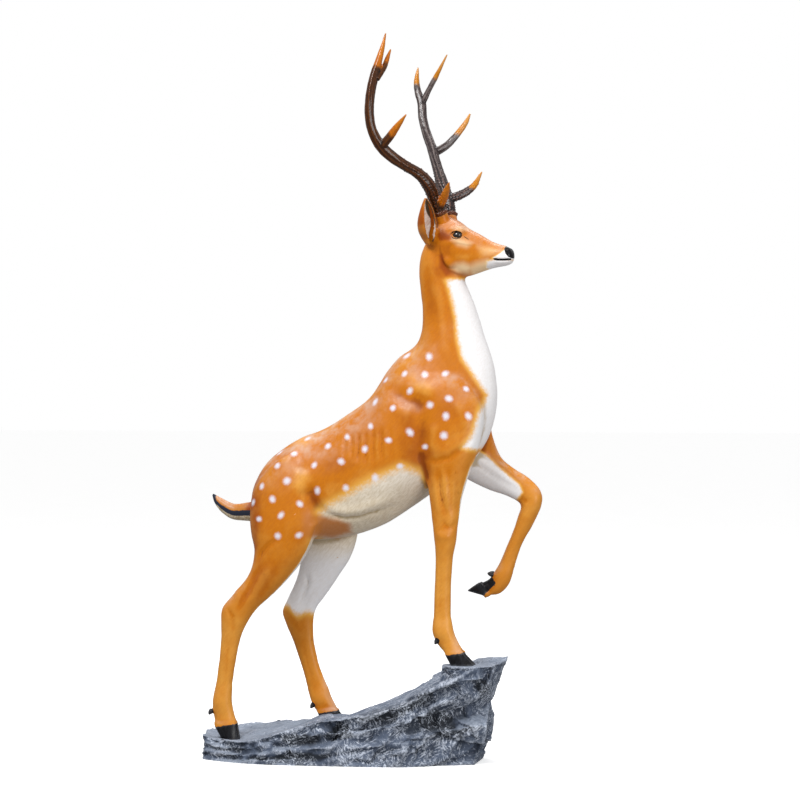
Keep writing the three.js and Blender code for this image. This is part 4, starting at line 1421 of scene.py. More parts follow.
    def tail_band(self, points: Array, low: float, high: float, tip: float) -> Array:
        """A band along the tail, between shares of its height, and all of it past a share.

        Args:
            points: The surface's points.
            low: The share where it starts.
            high: The share where it ends.
            tip: The share of the tail's length past which all of it counts.

        Returns:
            1 inside the band.
        """
        rows = flowing(TAIL, 8)
        order = np.argsort(rows[:, 0])
        top = np.interp(points[:, 0], rows[order, 0], rows[order, 1])
        bottom = np.interp(points[:, 0], rows[order, 2], rows[order, 3])
        share = (points[:, 2] - bottom) / np.maximum(top - bottom, 4)
        band = ramp(share, low - 0.1, low + 0.1) * ramp(share, high + 0.1, high - 0.1)
        along = (-points[:, 0] - 290) / 132
        ended = ramp(along, tip - 0.05, tip + 0.02)
        return np.maximum(band, ended) * ramp(along, -0.08, 0.06) * (points[:, 2] > 630)

    def eye(self, side: Side) -> Object:
        """One eye's glossy ball, seated between its lids."""
        x, y, z = EYE_PLACE
        skin = ball((x, y * side.value, z), EYE_RADII, -4, 48)
        return as_object(Skin(with_head(skin.points), skin.faces), f"eye_{side.name.lower()}")


# The rock


ROCK_STROKES = strokes(
    ((147, 141, 198, 178, 245, 208, 319, 244, 378, 270), 8, 11, RIGHT, 60, -0.3),
    ((165, 118, 215, 160, 262, 186, 322, 220), 15, -10, RIGHT, 60, -0.3),
    ((122, 100, 178, 141, 248, 168, 313, 192, 352, 214), 8, 7, RIGHT, 60, -0.3),
    ((392, 24, 424, 70, 438, 118), 30, 10, RIGHT, -300, -0.9),
    ((-158, 69, -111, 67, -73, 70), 12, -13, RIGHT, 90, 0.1),
    ((-52, 91, -4, 104, 48, 94), 13, -13, RIGHT, 90, 0.1),
    ((195, 114, 240, 122, 288, 102, 250, 88), 24, -11, RIGHT, 60, 0.1),
    ((360, 219, 378, 202), 11, -15, RIGHT, 50, -0.2),
    ((322, 222, 346, 198), 12, 5, RIGHT, 50, -0.2),
    ((105, 30, 221, 58, 337, 80, 400, 116), 18, 8, RIGHT, 40, -0.3),
    ((95, 58, 190, 72, 270, 66, 345, 100), 9, -7, RIGHT, 60, 0),
    ((-40, 50, 66, 79, 159, 88, 219, 82), 8, 6, RIGHT, 90, 0),
    ((-248, 60, -200, 44, -138, 28), 8, 6, RIGHT, 90, 0),
    ((-345, 50, -299, 38, -260, 52), 13, -9, RIGHT, 90, 0),
    ((-215, 66, -170, 50, -60, 40, 20, 52), 7, -5, RIGHT, 90, 0),
    ((-20, 28, 60, 40, 150, 52), 7, -5, RIGHT, 60, 0),
    ((-300, 30, -200, 24, -100, 40, 0, 66), 10, -8, LEFT, 90, 0),
    ((-40, 84, 60, 100, 150, 130, 230, 180), 10, 7, LEFT, 60, -0.2),
    ((0, 60, 110, 84, 210, 120, 300, 190), 15, -12, LEFT, 60, 0),
    ((120, 40, 220, 66, 330, 100), 12, 7, LEFT, 40, -0.2),
    ((270, 150, 330, 170, 372, 220), 16, -12, LEFT, 40, 0),
)


# Painted light and shade on the rock's near side: dark patches in its hollows and pale ones on its faces.
ROCK_PAINTED_LIGHT_AND_SHADE = patches(
    ((-172, 76, -109, 89, -58, 77, -75, 55, -138, 52), 9, -1),
    ((-47, 83, -10, 112, 19, 107, 38, 81, 4, 69, -38, 64), 9, -0.9),
    ((206, 130, 256, 148, 298, 134, 311, 99, 278, 79, 228, 88), 16, -1.1),
    ((361, 229, 388, 235, 396, 212, 372, 198), 7, -1.2),
    ((28, 128, 114, 166, 200, 190, 262, 224, 226, 168, 128, 112), 10, -0.8),
    ((-354, 38, -282, 49, -264, 31, -296, 13, -354, 13), 9, -0.6),
    ((-253, 20, -109, 37, -24, 27, -109, 5, -282, 0), 9, -0.7),
    ((298, 91, 366, 136, 432, 181, 436, 165, 372, 110, 311, 70), 8, -0.7),
    ((-152, 117, -95, 136, -75, 120, -109, 83, -143, 82), 8, 0.7),
    ((-264, 40, -218, 59, -148, 30, -218, 18), 6, 0.7),
    ((317, 239, 366, 281, 462, 316, 459, 262, 416, 234, 361, 238), 9, 0.6),
    ((326, 240, 352, 243, 355, 201, 329, 199), 5, 0.9),
    ((173, 32, 256, 51, 339, 81, 427, 133, 424, 95, 339, 33, 201, 8), 9, 0.45),
    ((-10, 63, 75, 84, 173, 88, 178, 70, 75, 58), 6, 0.5),
)


@dataclass
class Rock:
    """The layered rock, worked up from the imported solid."""

    node: Object
    pitch: float = 4.0
    quick_pitch: float = 5.0
    rise: float = 0.36
    slab: float = 110.0
    slab_cut: float = 10.0
    chip: float = 50.0
    chip_cut: float = 4.5
    flake: float = 18.0
    flake_cut: float = 0.5
    near: float = -60.0
    # Where the painted light on the rock's tops is dimmed, as two ramps along x.
    dim_top_light: Row = (-170, -90, 350, 270)
    seed: int = 7

    def build(self) -> Object:
        """The rock with its layers, chips and cracks, flat under the feet and below."""
        thing = linked(bpy.data.objects.new("rock_slab", self.node.data.copy()))
        thing.data.name = thing.name
        weld = thing.modifiers.new("weld", "WELD")
        weld.merge_threshold = 0.05 * MM
        settled(thing)
        remeshed(thing, self.pitch)
        web = Web(thing)
        noise.seed_set(self.seed)
        self.broken(thing, web)
        thing.data.materials.clear()
        relief = 0.35 * relief_of(thing, web, 5, 2.2) + 0.65 * relief_of(thing, web, 80, 13.0)
        set_mask(thing, "relief", relief)
        points = points_of(thing)
        # The tone mask: painted light and shade in patches, on the near side only; then where the painted
        # light on the tops is dimmed.
        tones = sum(patch.mask(points) for patch in ROCK_PAINTED_LIGHT_AND_SHADE) * (points[:, 1] < self.near)
        set_mask(thing, "tone", 0.5 + 0.5 * tones)
        along = points[:, 0]
        set_mask(thing, "dim_top_light", ramp(along, *self.dim_top_light[:2]) * ramp(along, *self.dim_top_light[2:]))
        return thing

    def laid(self, points: Array, size: float) -> Array:
        """The points in cells of a size, long and flat and tilted as the rock's layers are."""
        x, y, z = points.T
        along, up = x + self.rise * z, z - self.rise * x
        bend = np.array([noise.noise(Vector(point / 150.0)) for point in points]) * 22
        return np.stack([along / 1.7, (y + 0.25 * x) / 1.2, (up + bend) / 0.62], 1) / size

    def faces(self, points: Array, size: float, cut: float) -> Array:
        """How deep flat broken faces of one size cut in.

        Args:
            points: The surface's points.
            size: About how wide a face is.
            cut: How far it cuts in.

        Returns:
            The depth at each point.
        """
        depths = []
        for point in self.laid(points, size):
            place = Vector(point)
            middle = noise.voronoi(place)[1][0]
            tilt = noise.noise_vector(middle * 3.7).normalized()
            base = 0.5 + 0.5 * math.sin(37 * middle.x + 53 * middle.y + 71 * middle.z)
            depths.append(cut * (base + 2.0 * (place - middle).dot(tilt)))
        return np.array(depths)

    def broken(self, thing: Object, web: Web) -> None:
        """Breaks the surface up into flat faces, chips and hollows.

        Args:
            thing: The object.
            web: Its neighbours.
        """
        points, normals = points_of(thing), web.smoothed(normals_of(thing), 3)
        normals /= np.maximum(np.linalg.norm(normals, axis=1), 1e-6)[:, None]
        upright = ramp(np.abs(normals[:, 2]), 0.95, 0.6)
        ends = 1 - 0.75 * ramp(normals[:, 0], 0.3, 0.8)
        sink = self.faces(points, self.slab, self.slab_cut) * (0.3 + 0.7 * upright) * ends
        sink += self.faces(points + 300, self.chip, self.chip_cut) * (0.35 + 0.65 * upright) * ends
        sink += self.faces(points - 500, self.flake, self.flake_cut)
        grit = np.array([noise.noise(Vector(point / 7.0)) for point in points])
        sink = np.maximum(sink, -1.5) + 0.4 * grit
        sink -= sum(stroke.lift(points, normals) for stroke in ROCK_STROKES)
        moved = points - (sink * self.free(points))[:, None] * normals
        moved[:, 2] = np.maximum(moved[:, 2], 0)
        set_points(thing, moved)

    def free(self, points: Array) -> Array:
        """How free each point is to be broken: not under the feet, nor under the rock.

        Args:
            points: The surface's points.

        Returns:
            1 where it's free, 0 where it stays flat.
        """
        free = ramp(points[:, 2], 0.5, 9)
        for foot in FEET[:3]:
            middle = sum(foot.claw.sole) / 2
            away = np.hypot((points[:, 0] - middle) / 58, (points[:, 1] - foot.place[1]) / 46)
            level = ramp(np.abs(points[:, 2] - foot.place[2]), 26, 10)
            free *= 1 - level * ramp(away, 1.25, 0.85)
        return free


# Finishes

Plug = NodeSocket | float | tuple[float, ...]
NUMBER = "NodeSocketFloat"
VECTOR = "NodeSocketVector"


def paint(red: int, green: int, blue: int) -> tuple[float, float, float, float]:
    """A paint's colour, given as it looks on a screen from 0 to 255, as the shader takes it."""
    parts = [c / 255 for c in (red, green, blue)]
    red, green, blue = (p / 12.92 if p < 0.04045 else ((p + 0.055) / 1.055) ** 2.4 for p in parts)
    return red, green, blue, 1.0


class Board:
    """A shader tree, with short calls for the nodes that the finishes are made of."""

    def __init__(self, tree: NodeTree) -> None:
        """Takes the tree and empties it.

        Args:
            tree: The node tree.
        """
        self.tree = tree
        tree.nodes.clear()

    def node(self, kind: str, inputs: dict[str | int, Plug] | None = None, **settings: object) -> Node:
        """Adds a node.

        Args:
            kind: The node's type.
            inputs: What its sockets get: a value, or another node's output.
            settings: Its properties.

        Returns:
            The node.
        """
        made = self.tree.nodes.new(kind)
        for name, value in settings.items():
            setattr(made, name, value)
        for name, value in (inputs or {}).items():
            if isinstance(value, NodeSocket):
                self.tree.links.new(value, made.inputs[name])
            else:
                made.inputs[name].default_value = value
        return made

    def place(self) -> NodeSocket:
        """The object's own coordinates."""
        return self.node("ShaderNodeTexCoord").outputs["Object"]

    def mask(self, name: str) -> NodeSocket:
        """A mask kept on the mesh."""
        return self.node("ShaderNodeAttribute", attribute_name=name).outputs["Fac"]

    def sum(self, kind: str, *values: Plug) -> NodeSocket:
        """A calculation with one to three values, kept between 0 and 1 where that matters."""
        return self.node("ShaderNodeMath", dict(enumerate(values)), operation=kind).outputs[0]

    def times(self, first: Plug, second: Plug) -> NodeSocket:
        """One value times another."""
        return self.sum("MULTIPLY", first, second)

    def axes(self, vector: Plug) -> NodeOutputs:
        """The three parts of a vector, by their letters."""
        return self.node("ShaderNodeSeparateXYZ", {0: vector}).outputs

    def upward(self) -> NodeSocket:
        """How far the surface faces up."""
        return self.axes(self.node("ShaderNodeNewGeometry").outputs["Normal"])["Z"]

    def spread(self, value: Plug, low: float, high: float, least: float = 0, most: float = 1) -> Plug:
        """Rises smoothly from one value to another."""
        ends = {"Value": value, "From Min": low, "From Max": high, "To Min": least, "To Max": most}
        kind = {"interpolation_type": "SMOOTHSTEP"}
        return self.node("ShaderNodeMapRange", ends, **kind).outputs["Result"]

    def mix(self, share: Plug, first: Plug, second: Plug, way: str = "MIX") -> NodeSocket:
        """Mixes two colours."""
        inputs = {0: share, 6: first, 7: second}
        return self.node("ShaderNodeMix", inputs, data_type="RGBA", blend_type=way).outputs[2]

    def layered(self, base: Plug, *layers: tuple[Plug, Plug]) -> Plug:
        """Paints layers over a colour, each given by its share and its own colour."""
        for share, colour in layers:
            base = self.mix(share, base, colour)
        return base

    def noise(self, place: Plug, scale: Plug, detail: float = 3, rough: float = 0.55) -> Plug:
        """Cloudy noise from 0 to 1."""
        inputs = {"Vector": place, "Scale": scale, "Detail": detail, "Roughness": rough}
        return self.node("ShaderNodeTexNoise", inputs).outputs["Fac"]

    def stretched(self, place: Plug, stretch: Plug, turn: Row = (0, 0, 0)) -> Plug:
        """The coordinates turned and then stretched, so that a pattern runs one way."""
        turned = self.node("ShaderNodeMapping", {"Vector": place, "Rotation": turn}).outputs[0]
        return self.node("ShaderNodeMapping", {"Vector": turned, "Scale": stretch}).outputs[0]

    def bump(self, height: Plug, depth: float, strength: float = 1.0) -> NodeSocket:
        """The normal of a surface with this relief, given its full depth in millimetres."""
        inputs = {"Height": height, "Distance": depth * MM, "Strength": strength}
        return self.node("ShaderNodeBump", inputs).outputs[0]

    def shader(self, **sockets: Plug) -> None:
        """Ends the tree in a shader, its sockets named with underscores."""
        named = {name.replace("_", " "): value for name, value in sockets.items()}
        made = self.node("ShaderNodeBsdfPrincipled", named)
        self.node("ShaderNodeOutputMaterial", {0: made.outputs[0]})


class Effect:
    """A group of nodes that several finishes share, with named inputs and outputs."""

    name = "effect"
    inputs: dict[str, tuple[str, Plug]] = {}
    outputs: tuple[str, ...] = ()

    def __init__(self) -> None:
        """Builds the group's tree."""
        self.tree = bpy.data.node_groups.new(self.name, "ShaderNodeTree")
        board = Board(self.tree)
        for name, (kind, value) in self.inputs.items():
            socket = self.tree.interface.new_socket(name, in_out="INPUT", socket_type=kind)
            if value is not None:
                socket.default_value = value
        for name in self.outputs:
            self.tree.interface.new_socket(name, in_out="OUTPUT", socket_type="NodeSocketFloat")
        got = board.node("NodeGroupInput").outputs
        board.node("NodeGroupOutput", dict(zip(self.outputs, self.drawn(board, got))))

    def drawn(self, board: Board, got: NodeOutputs) -> list[Plug]:
        """Draws the effect.

        Args:
            board: The group's tree.
            got: Its inputs.

        Returns:
            What its outputs get.
        """
        raise NotImplementedError

    def on(self, board: Board, **inputs: Plug) -> NodeOutputs:
        """Places the effect in a finish and returns its outputs.

        Args:
            board: The tree to draw in.
            inputs: What its sockets get.

        Returns:
            Its outputs.
        """
        made = board.node("ShaderNodeGroup", node_tree=self.tree)
        for name, value in inputs.items():
            socket = made.inputs[name]
            if isinstance(value, NodeSocket):
                board.tree.links.new(value, socket)
            else:
                socket.default_value = value
        return made.outputs


class Grain(Effect):
    """Fine strands that run along a surface, such as hair modelled in a coat or the grain of horn."""

    name = "fine_grain"
    inputs = {
        "Place": (VECTOR, None),
        "Scale": (NUMBER, 260.0),
        "Stretch": (VECTOR, (1.0, 1.0, 0.2)),
        "Turn": (VECTOR, (0.0, 0.0, 0.0)),
    }
    outputs = ("Shade", "Height")

    def drawn(self, board: Board, got: NodeOutputs) -> list[Plug]:
        """Draws strands over a broader, softer waviness."""
        bent = board.noise(got["Place"], 14.0, 2)
        offset = board.node("ShaderNodeVectorMath", {0: bent, 1: (0.05, 0.05, 0.05)}, operation="MULTIPLY")
        moved = board.node("ShaderNodeVectorMath", {0: got["Place"], 1: offset.outputs[0]})
        place = board.stretched(moved.outputs[0], got["Stretch"], got["Turn"])
        strands = board.noise(place, got["Scale"], 4, 0.62)
        soft = board.noise(place, board.times(got["Scale"], 0.25), 2)
        height = board.sum("MULTIPLY_ADD", soft, 0.5, board.times(strands, 0.5))
        return [board.spread(strands, 0.32, 0.68), height]


class FrayedEdge(Effect):
    """A painted mask whose edge breaks up into brush marks or hairs."""

    name = "frayed_edge"
    inputs = {
        "Mask": (NUMBER, 0.0),
        "Place": (VECTOR, None),
        "Scale": (NUMBER, 120.0),
        "Fray": (NUMBER, 0.2),
        "Low": (NUMBER, 0.4),
        "High": (NUMBER, 0.6),
    }
    outputs = ("Mask",)

    def drawn(self, board: Board, got: NodeOutputs) -> list[Plug]:
        """Shifts the mask by noise and sets its edge."""
        noise_now = board.sum("SUBTRACT", board.noise(got["Place"], got["Scale"], 3), 0.5)
        moved = board.sum("MULTIPLY_ADD", noise_now, got["Fray"], got["Mask"])
        ends = {"Value": moved, "From Min": got["Low"], "From Max": got["High"]}
        return [board.node("ShaderNodeMapRange", ends, interpolation_type="SMOOTHSTEP").outputs[0]]


class ReliefWearAndShade(Effect):
    """Tells the raised ridges and the sunken hollows of a surface: for painted shade in the coat's hollows
    and a painted highlight on its ridges, and for the paler ridges and darker hollows of the antlers' and the
    rock's paint.
    """

    name = "relief_wear_and_shade"
    inputs = {
        "Relief": (NUMBER, 0.5),
        "Place": (VECTOR, None),
        "Scale": (NUMBER, 90.0),
        "Break": (NUMBER, 0.3),
    }
    outputs = ("Ridge", "Hollow")

    def drawn(self, board: Board, got: NodeOutputs) -> list[Plug]:
        """Breaks both masks up with noise, so that they aren't even."""
        noise_now = board.sum("SUBTRACT", board.noise(got["Place"], got["Scale"], 4, 0.65), 0.5)
        moved = board.sum("MULTIPLY_ADD", noise_now, got["Break"], got["Relief"])
        return [board.spread(moved, 0.55, 0.9), board.spread(moved, 0.45, 0.1)]


class Dust(Effect):
    """Pales what faces up, in soft patches: a painted sheen of light on the coat, and dust with painted light
    on the rock.
    """

    name = "pale_tops_dust_and_sheen"
    inputs = {
        "Place": (VECTOR, None),
        "Up": (NUMBER, 0.0),
        "Amount": (NUMBER, 0.3),
    }
    outputs = ("Dust",)

    def drawn(self, board: Board, got: NodeOutputs) -> list[Plug]:
        """Draws the paling in soft patches."""
        patches = board.spread(board.noise(got["Place"], 22.0, 4, 0.6), 0.35, 0.7)
        paled_tops = board.times(board.spread(got["Up"], 0.3, 0.95), patches)
        return [board.times(paled_tops, got["Amount"])]


@dataclass
class Effects:
    """The shared effects, each built once."""

    grain: Grain = field(default_factory=Grain)
    frayed: FrayedEdge = field(default_factory=FrayedEdge)
    wear_and_shade: ReliefWearAndShade = field(default_factory=ReliefWearAndShade)
    dust: Dust = field(default_factory=Dust)


def new_material(name: str) -> tuple[Material, Board]:
    """A material and the board of its tree."""
    made = bpy.data.materials.new(name)
    made.use_nodes = True
    return made, Board(made.node_tree)


@dataclass(frozen=True)
class CoatFinish:
    """The painted coat: sprayed orange under satin lacquer, with every mark brushed over it, and with painted
    light and shade: a painted sheen on its upper parts, painted shade in its folds and hollows and painted
    highlights on its ridges.
    """

    deep: Row = paint(160, 74, 0)
    even: Row = paint(204, 118, 10)
    golden: Row = paint(240, 184, 84)
    pale: Row = paint(236, 168, 72)
    # A painted reflection of the bright sky on the upper parts.
    painted_sheen: Row = paint(216, 186, 166)
    # Painted shade, in the coat's hollows and on the face's shaded patches.
    hollow: Row = paint(128, 54, 0)
    cream: Row = paint(236, 222, 198)
    cream_shade: Row = paint(178, 154, 112)
    white: Row = paint(244, 242, 243)
    spot: Row = paint(232, 231, 244)
    # A painted shadow in the fold before the thigh.
    brown: Row = paint(196, 116, 40)
    buff: Row = paint(248, 222, 178)
    # Painted shade inside the ears' cups.
    ear_dark: Row = paint(78, 62, 44)
    ear_hair: Row = paint(252, 240, 232)
    ear_shade: Row = paint(222, 192, 174)
    blue_black: Row = paint(40, 46, 62)
    black: Row = paint(10, 9, 11)
    horn: Row = paint(28, 29, 34)

    def build(self, effects: Effects) -> Material:
        """Mixes the coat's paints.

        Args:
            effects: The shared effects.

        Returns:
            The material.
        """
        made, board = new_material("painted_coat")
        place = board.place()
        grain = effects.grain.on(board, Place=place, Scale=210.0, Stretch=(1.0, 1.0, 0.2), Turn=(0, -0.7, 0))
        wear_and_shade = effects.wear_and_shade.on(board, Relief=board.mask("relief"), Place=place, Scale=70.0, Break=0.25)
        orange = self.orange(board, place, grain, wear_and_shade)
        cream = self.light(board, place, grain, wear_and_shade)
        edges = {
            "cream": (120.0, 0.5, 0.32, 0.9),
            "spot": (240.0, 0.34, 0.26, 0.9),
            "ear": (200.0, 0.2, 0.35, 0.65),
            "ear_hair": (260.0, 0.3, 0.35, 0.65),
            "tail_pale": (150.0, 0.3, 0.3, 0.7),
            "tail_dark": (150.0, 0.3, 0.3, 0.7),
            "brown": (60.0, 0.4, 0.05, 0.95),
            "black": (300.0, 0.12, 0.35, 0.6),
            "horn": (220.0, 0.12, 0.4, 0.6),
        }
        masks = {
            name: effects.frayed.on(
                board, Mask=board.mask(name), Place=place, Scale=scale, Fray=fray, Low=low, High=high
            )[0]
            for name, (scale, fray, low, high) in edges.items()
        }
        fringe = board.spread(board.mask("cream"), 0.02, 0.5, 0, 0.8)
        # The buff mask is buff paint, with a painted highlight on the brow.
        buff = board.times(board.mask("buff"), 0.85)
        orange = board.layered(orange, (fringe, self.golden), (buff, self.buff))
        # Painted sheen: what faces up is paled towards a greyish peach, a painted reflection of the bright
        # sky, less on the head.
        up = board.sum("MULTIPLY_ADD", board.upward(), 1.0, 0.22)
        amount = board.spread(board.axes(place)["Z"], 1.18, 1.4, 0.72, 0.4)
        painted_sheen = effects.dust.on(board, Place=place, Up=up, Amount=amount)[0]
        colour = board.layered(
            board.mix(painted_sheen, orange, self.painted_sheen),
            (masks["cream"], cream),
            # A painted shadow in the fold before the thigh.
            (board.times(masks["brown"], 0.9), self.brown),
            (board.times(masks["spot"], 0.94), self.spot),
            (board.times(board.mask("shade"), 0.85), self.hollow),
            # Painted shade inside the ears' cups, under the pale hair.
            (masks["ear"], self.ear_dark),
            (masks["ear_hair"], board.mix(grain["Shade"], self.ear_hair, self.ear_shade)),
            (masks["tail_pale"], board.mix(grain["Shade"], self.cream_shade, self.cream)),
            (masks["tail_dark"], self.blue_black),
            (masks["black"], self.black),
            (masks["horn"], self.hoof(board, place, wear_and_shade)),
        )
        hard = board.sum("MAXIMUM", masks["horn"], masks["black"])
        rough = board.sum("MULTIPLY_ADD", grain["Shade"], 0.12, board.spread(hard, 0, 1, 0.36, 0.26))
        soft = board.spread(hard, 0, 1, 1, 0.25)
        relief = board.times(grain["Height"], soft)
        board.shader(
            Base_Color=colour,
            Roughness=rough,
            Normal=board.bump(relief, 0.8, 0.5),
            Specular_IOR_Level=0.22,
            Coat_Weight=0.08,
            Coat_Roughness=0.22,
        )
        return made

    def orange(self, board: Board, place: Plug, grain: Plug, wear_and_shade: Plug) -> Plug:
        """The orange coat, from deep to pale.

        Args:
            board: The tree to draw in.
            place: The coordinates.
            grain: What the grain puts out.
            wear_and_shade: The masks of ridges and hollows.

        Returns:
            The colour.
        """
        cloud = board.sum("SUBTRACT", board.noise(place, 9.0, 4, 0.6), 0.5)
        fine = board.sum("SUBTRACT", board.noise(place, 42.0, 3, 0.6), 0.5)
        # The tone mask carries painted light and shade, and noise varies it.
        tone = board.sum("MULTIPLY_ADD", cloud, 0.5, board.mask("tone"))
        tone = board.sum("MULTIPLY_ADD", fine, 0.22, tone)
        return board.layered(
            self.deep,
            (board.spread(tone, 0.0, 0.5), self.even),
            (board.spread(tone, 0.52, 1.0), self.pale),
            (board.spread(grain["Shade"], 0, 1, 0, 0.16), self.deep),
            # Painted shade in the hollows, and a painted highlight on the ridges.
            (board.times(wear_and_shade["Hollow"], 0.75), self.hollow),
            (board.times(wear_and_shade["Ridge"], 0.3), self.pale),
        )

    def light(self, board: Board, place: Plug, grain: Plug, wear_and_shade: Plug) -> Plug:
        """The off-white parts: whiter on the throat, warmer on the belly.

        Args:
            board: The tree to draw in.
            place: The coordinates.
            grain: What the grain puts out.
            wear_and_shade: The masks of ridges and hollows.

        Returns:
            The colour.
        """
        sides = board.axes(place)
        leg, arm = board.spread(sides["Z"], 0.63, 0.52), board.spread(sides["X"], 0.24, 0.31)
        throat = board.spread(sides["Z"], 0.66, 0.98)
        whiteness = board.sum("MAXIMUM", throat, board.sum("MAXIMUM", leg, arm))
        return board.layered(
            self.cream,
            (whiteness, self.white),
            (board.times(grain["Shade"], board.spread(whiteness, 0, 1, 0.4, 0.1)), self.cream_shade),
            (board.times(wear_and_shade["Hollow"], 0.8), self.cream_shade),
        )

    def hoof(self, board: Board, place: Plug, wear_and_shade: Plug) -> Plug:
        """The dark horn of hooves and dewclaws, paler along its raised edges."""
        streaks = board.noise(board.stretched(place, (1, 1, 0.3)), 160.0, 4)
        base = board.mix(board.spread(streaks, 0.35, 0.7), self.black, self.horn)
        return board.mix(board.times(wear_and_shade["Ridge"], 0.35), base, paint(120, 120, 124))


@dataclass(frozen=True)
class AntlerFinish:
    """Varnished antler: dark furrows, rubbed ridges and amber ends."""

    name: str
    dark: Row
    body: Row
    rubbed: Row
    amber: Row
    ivory: Row
    collar: Row = paint(96, 46, 16)

    def build(self, effects: Effects) -> Material:
        """Mixes the antler's varnish.

        Args:
            effects: The shared effects.

        Returns:
            The material.
        """
        made, board = new_material(self.name)
        place = board.place()
        grain = effects.grain.on(board, Place=place, Scale=190.0, Stretch=(1.0, 1.0, 0.22))
        wear_and_shade = effects.wear_and_shade.on(board, Relief=board.mask("relief"), Place=place, Scale=120.0, Break=0.35)
        ends = effects.frayed.on(
            board, Mask=board.mask("pale_end"), Place=place, Scale=85.0, Fray=0.3, Low=0.42, High=0.6
        )[0]
        tip = board.mix(board.spread(board.mask("pale_end"), 0.7, 1.2), self.amber, self.ivory)
        colour = board.layered(
            self.body,
            (board.times(grain["Shade"], 0.5), self.dark),
            (wear_and_shade["Hollow"], self.dark),
            (board.times(wear_and_shade["Ridge"], 0.55), self.rubbed),
            (board.times(board.mask("foot"), 0.55), board.mix(wear_and_shade["Ridge"], self.dark, self.collar)),
            (board.times(board.mask("collar"), 0.8), self.collar),
            (ends, board.mix(board.times(grain["Shade"], 0.28), tip, self.collar)),
        )
        rough = board.sum("MULTIPLY_ADD", grain["Shade"], 0.12, 0.2)
        board.shader(
            Base_Color=colour,
            Roughness=rough,
            Normal=board.bump(grain["Height"], 0.6, 0.5),
            Specular_IOR_Level=0.3,
            Coat_Weight=0.16,
            Coat_Roughness=0.12,
        )
        return made


@dataclass(frozen=True)
class RockFinish:
    """Painted slate: near-black in its hollows, dry-brushed with blue-white on its edges, with painted light
    on the faces that look up and painted light and shade in patches.
    """

    black: Row = paint(34, 38, 44)
    slate: Row = paint(54, 63, 80)
    grey: Row = paint(88, 99, 119)
    brushed: Row = paint(222, 230, 244)
    # Dust, and painted light on the faces that look up.
    dust: Row = paint(158, 168, 184)
    ways: tuple[tuple[Row, float, float], ...] = (
        ((0.2, 0.8, 1.0), 0.45, 210.0), ((0.25, 1.0, 0.8), -0.9, 260.0), ((1.0, 0.9, 0.25), 0.25, 240.0)
    )

    def build(self, effects: Effects) -> Material:
        """Mixes the slate's paints.

        Args:
            effects: The shared effects.

        Returns:
            The material.
        """
        made, board = new_material("painted_slate")
        place = board.place()
        wear_and_shade = effects.wear_and_shade.on(board, Relief=board.mask("relief"), Place=place, Scale=60.0, Break=0.4)
        cloud = board.noise(place, 13.0, 5, 0.62)
        speck = board.noise(place, 150.0, 6, 0.75)
        facet = self.facets(board, place, 26.0)
        upward = board.upward()
        tone = board.sum("MULTIPLY_ADD", facet, 0.16, board.times(cloud, 0.32))
        # Painted light and shade from the tone mask, and the faces that look up painted lighter.
        tone = board.sum("MULTIPLY_ADD", board.mask("tone"), 0.9, board.sum("SUBTRACT", tone, 0.1))
        tone = board.sum("MULTIPLY_ADD", upward, 0.24, tone)
        edges = board.times(wear_and_shade["Ridge"], board.spread(speck, 0.4, 0.62, 0.05, 0.6))
        # Painted light: the faces that look up are paled, much less in the rock's middle stretch.
        lit = board.times(board.spread(upward, 0.35, 0.95), board.spread(cloud, 0.3, 0.6, 0.5, 1))
        lit = board.times(lit, board.spread(board.mask("dim_top_light"), 0, 1, 0.7, 0.15))
        colour = board.layered(
            self.slate,
            (board.spread(tone, 0.36, 0.8), self.grey),
            (board.spread(tone, 0.46, 0.26, 0, 0.8), self.black),
            (board.times(wear_and_shade["Hollow"], 0.5), self.black),
            (self.scratches(board, effects, place), self.brushed),
            (edges, self.brushed),
            (lit, self.dust),
            # Dust, and painted light, on what faces up.
            (effects.dust.on(board, Place=place, Up=upward, Amount=0.25)[0], self.dust),
            (board.spread(speck, 0.5, 0.36, 0, 0.25), self.black),
        )
        height = board.sum("MULTIPLY_ADD", speck, 0.5, board.times(facet, 0.6))
        board.shader(
            Base_Color=colour,
            Roughness=board.spread(speck, 0.3, 0.7, 0.5, 0.8),
            Specular_IOR_Level=0.3,
            Normal=board.bump(height, 2.0, 0.8),
        )
        return made

    def facets(self, board: Board, place: Plug, scale: float) -> Plug:
        """A tone for each small broken face, long the way the layers run."""
        laid = board.stretched(place, (0.55, 0.8, 1.3), (0, 0.4, 0))
        inputs = {"Vector": laid, "Scale": scale}
        return board.node("ShaderNodeTexVoronoi", inputs, feature="F1").outputs["Color"]

    def scratches(self, board: Board, effects: Effects, place: Plug) -> Plug:
        """Thin pale brush strokes, in patches that run several ways.

        Args:
            board: The tree to draw in.
            effects: The shared effects.
            place: The coordinates.

        Returns:
            Their mask.
        """
        found: Plug = 0.0
        for i, (stretch, turn, scale) in enumerate(self.ways):
            grain = effects.grain.on(board, Place=place, Scale=scale, Stretch=stretch, Turn=(0, turn, 0))
            patch = board.spread(board.noise(place, 12.0 + 5 * i, 3), 0.44, 0.6)
            thin = board.spread(grain["Shade"], 0.62, 0.94, 0, 0.75)
            found = board.sum("MAXIMUM", found, board.times(thin, patch))
        return found


@dataclass(frozen=True)
class EyeFinish:
    """A dark glass eye: a brown iris round a wide black pupil."""

    black: Row = paint(8, 6, 6)
    brown: Row = paint(52, 26, 12)

    def build(self, effects: Effects) -> Material:
        """Mixes the eye's glass.

        Args:
            effects: The shared effects; not used.

        Returns:
            The material.
        """
        made, board = new_material("dark_glass_eye")
        depth = board.noise(board.place(), 240.0, 3)
        board.shader(
            Base_Color=board.mix(board.spread(depth, 0.4, 0.75, 0, 0.7), self.black, self.brown),
            Roughness=board.spread(depth, 0, 1, 0.04, 0.1),
            Coat_Weight=1.0,
            Coat_Roughness=0.03,
        )
        return made


# What repeats: the pearls of horn round each antler's foot


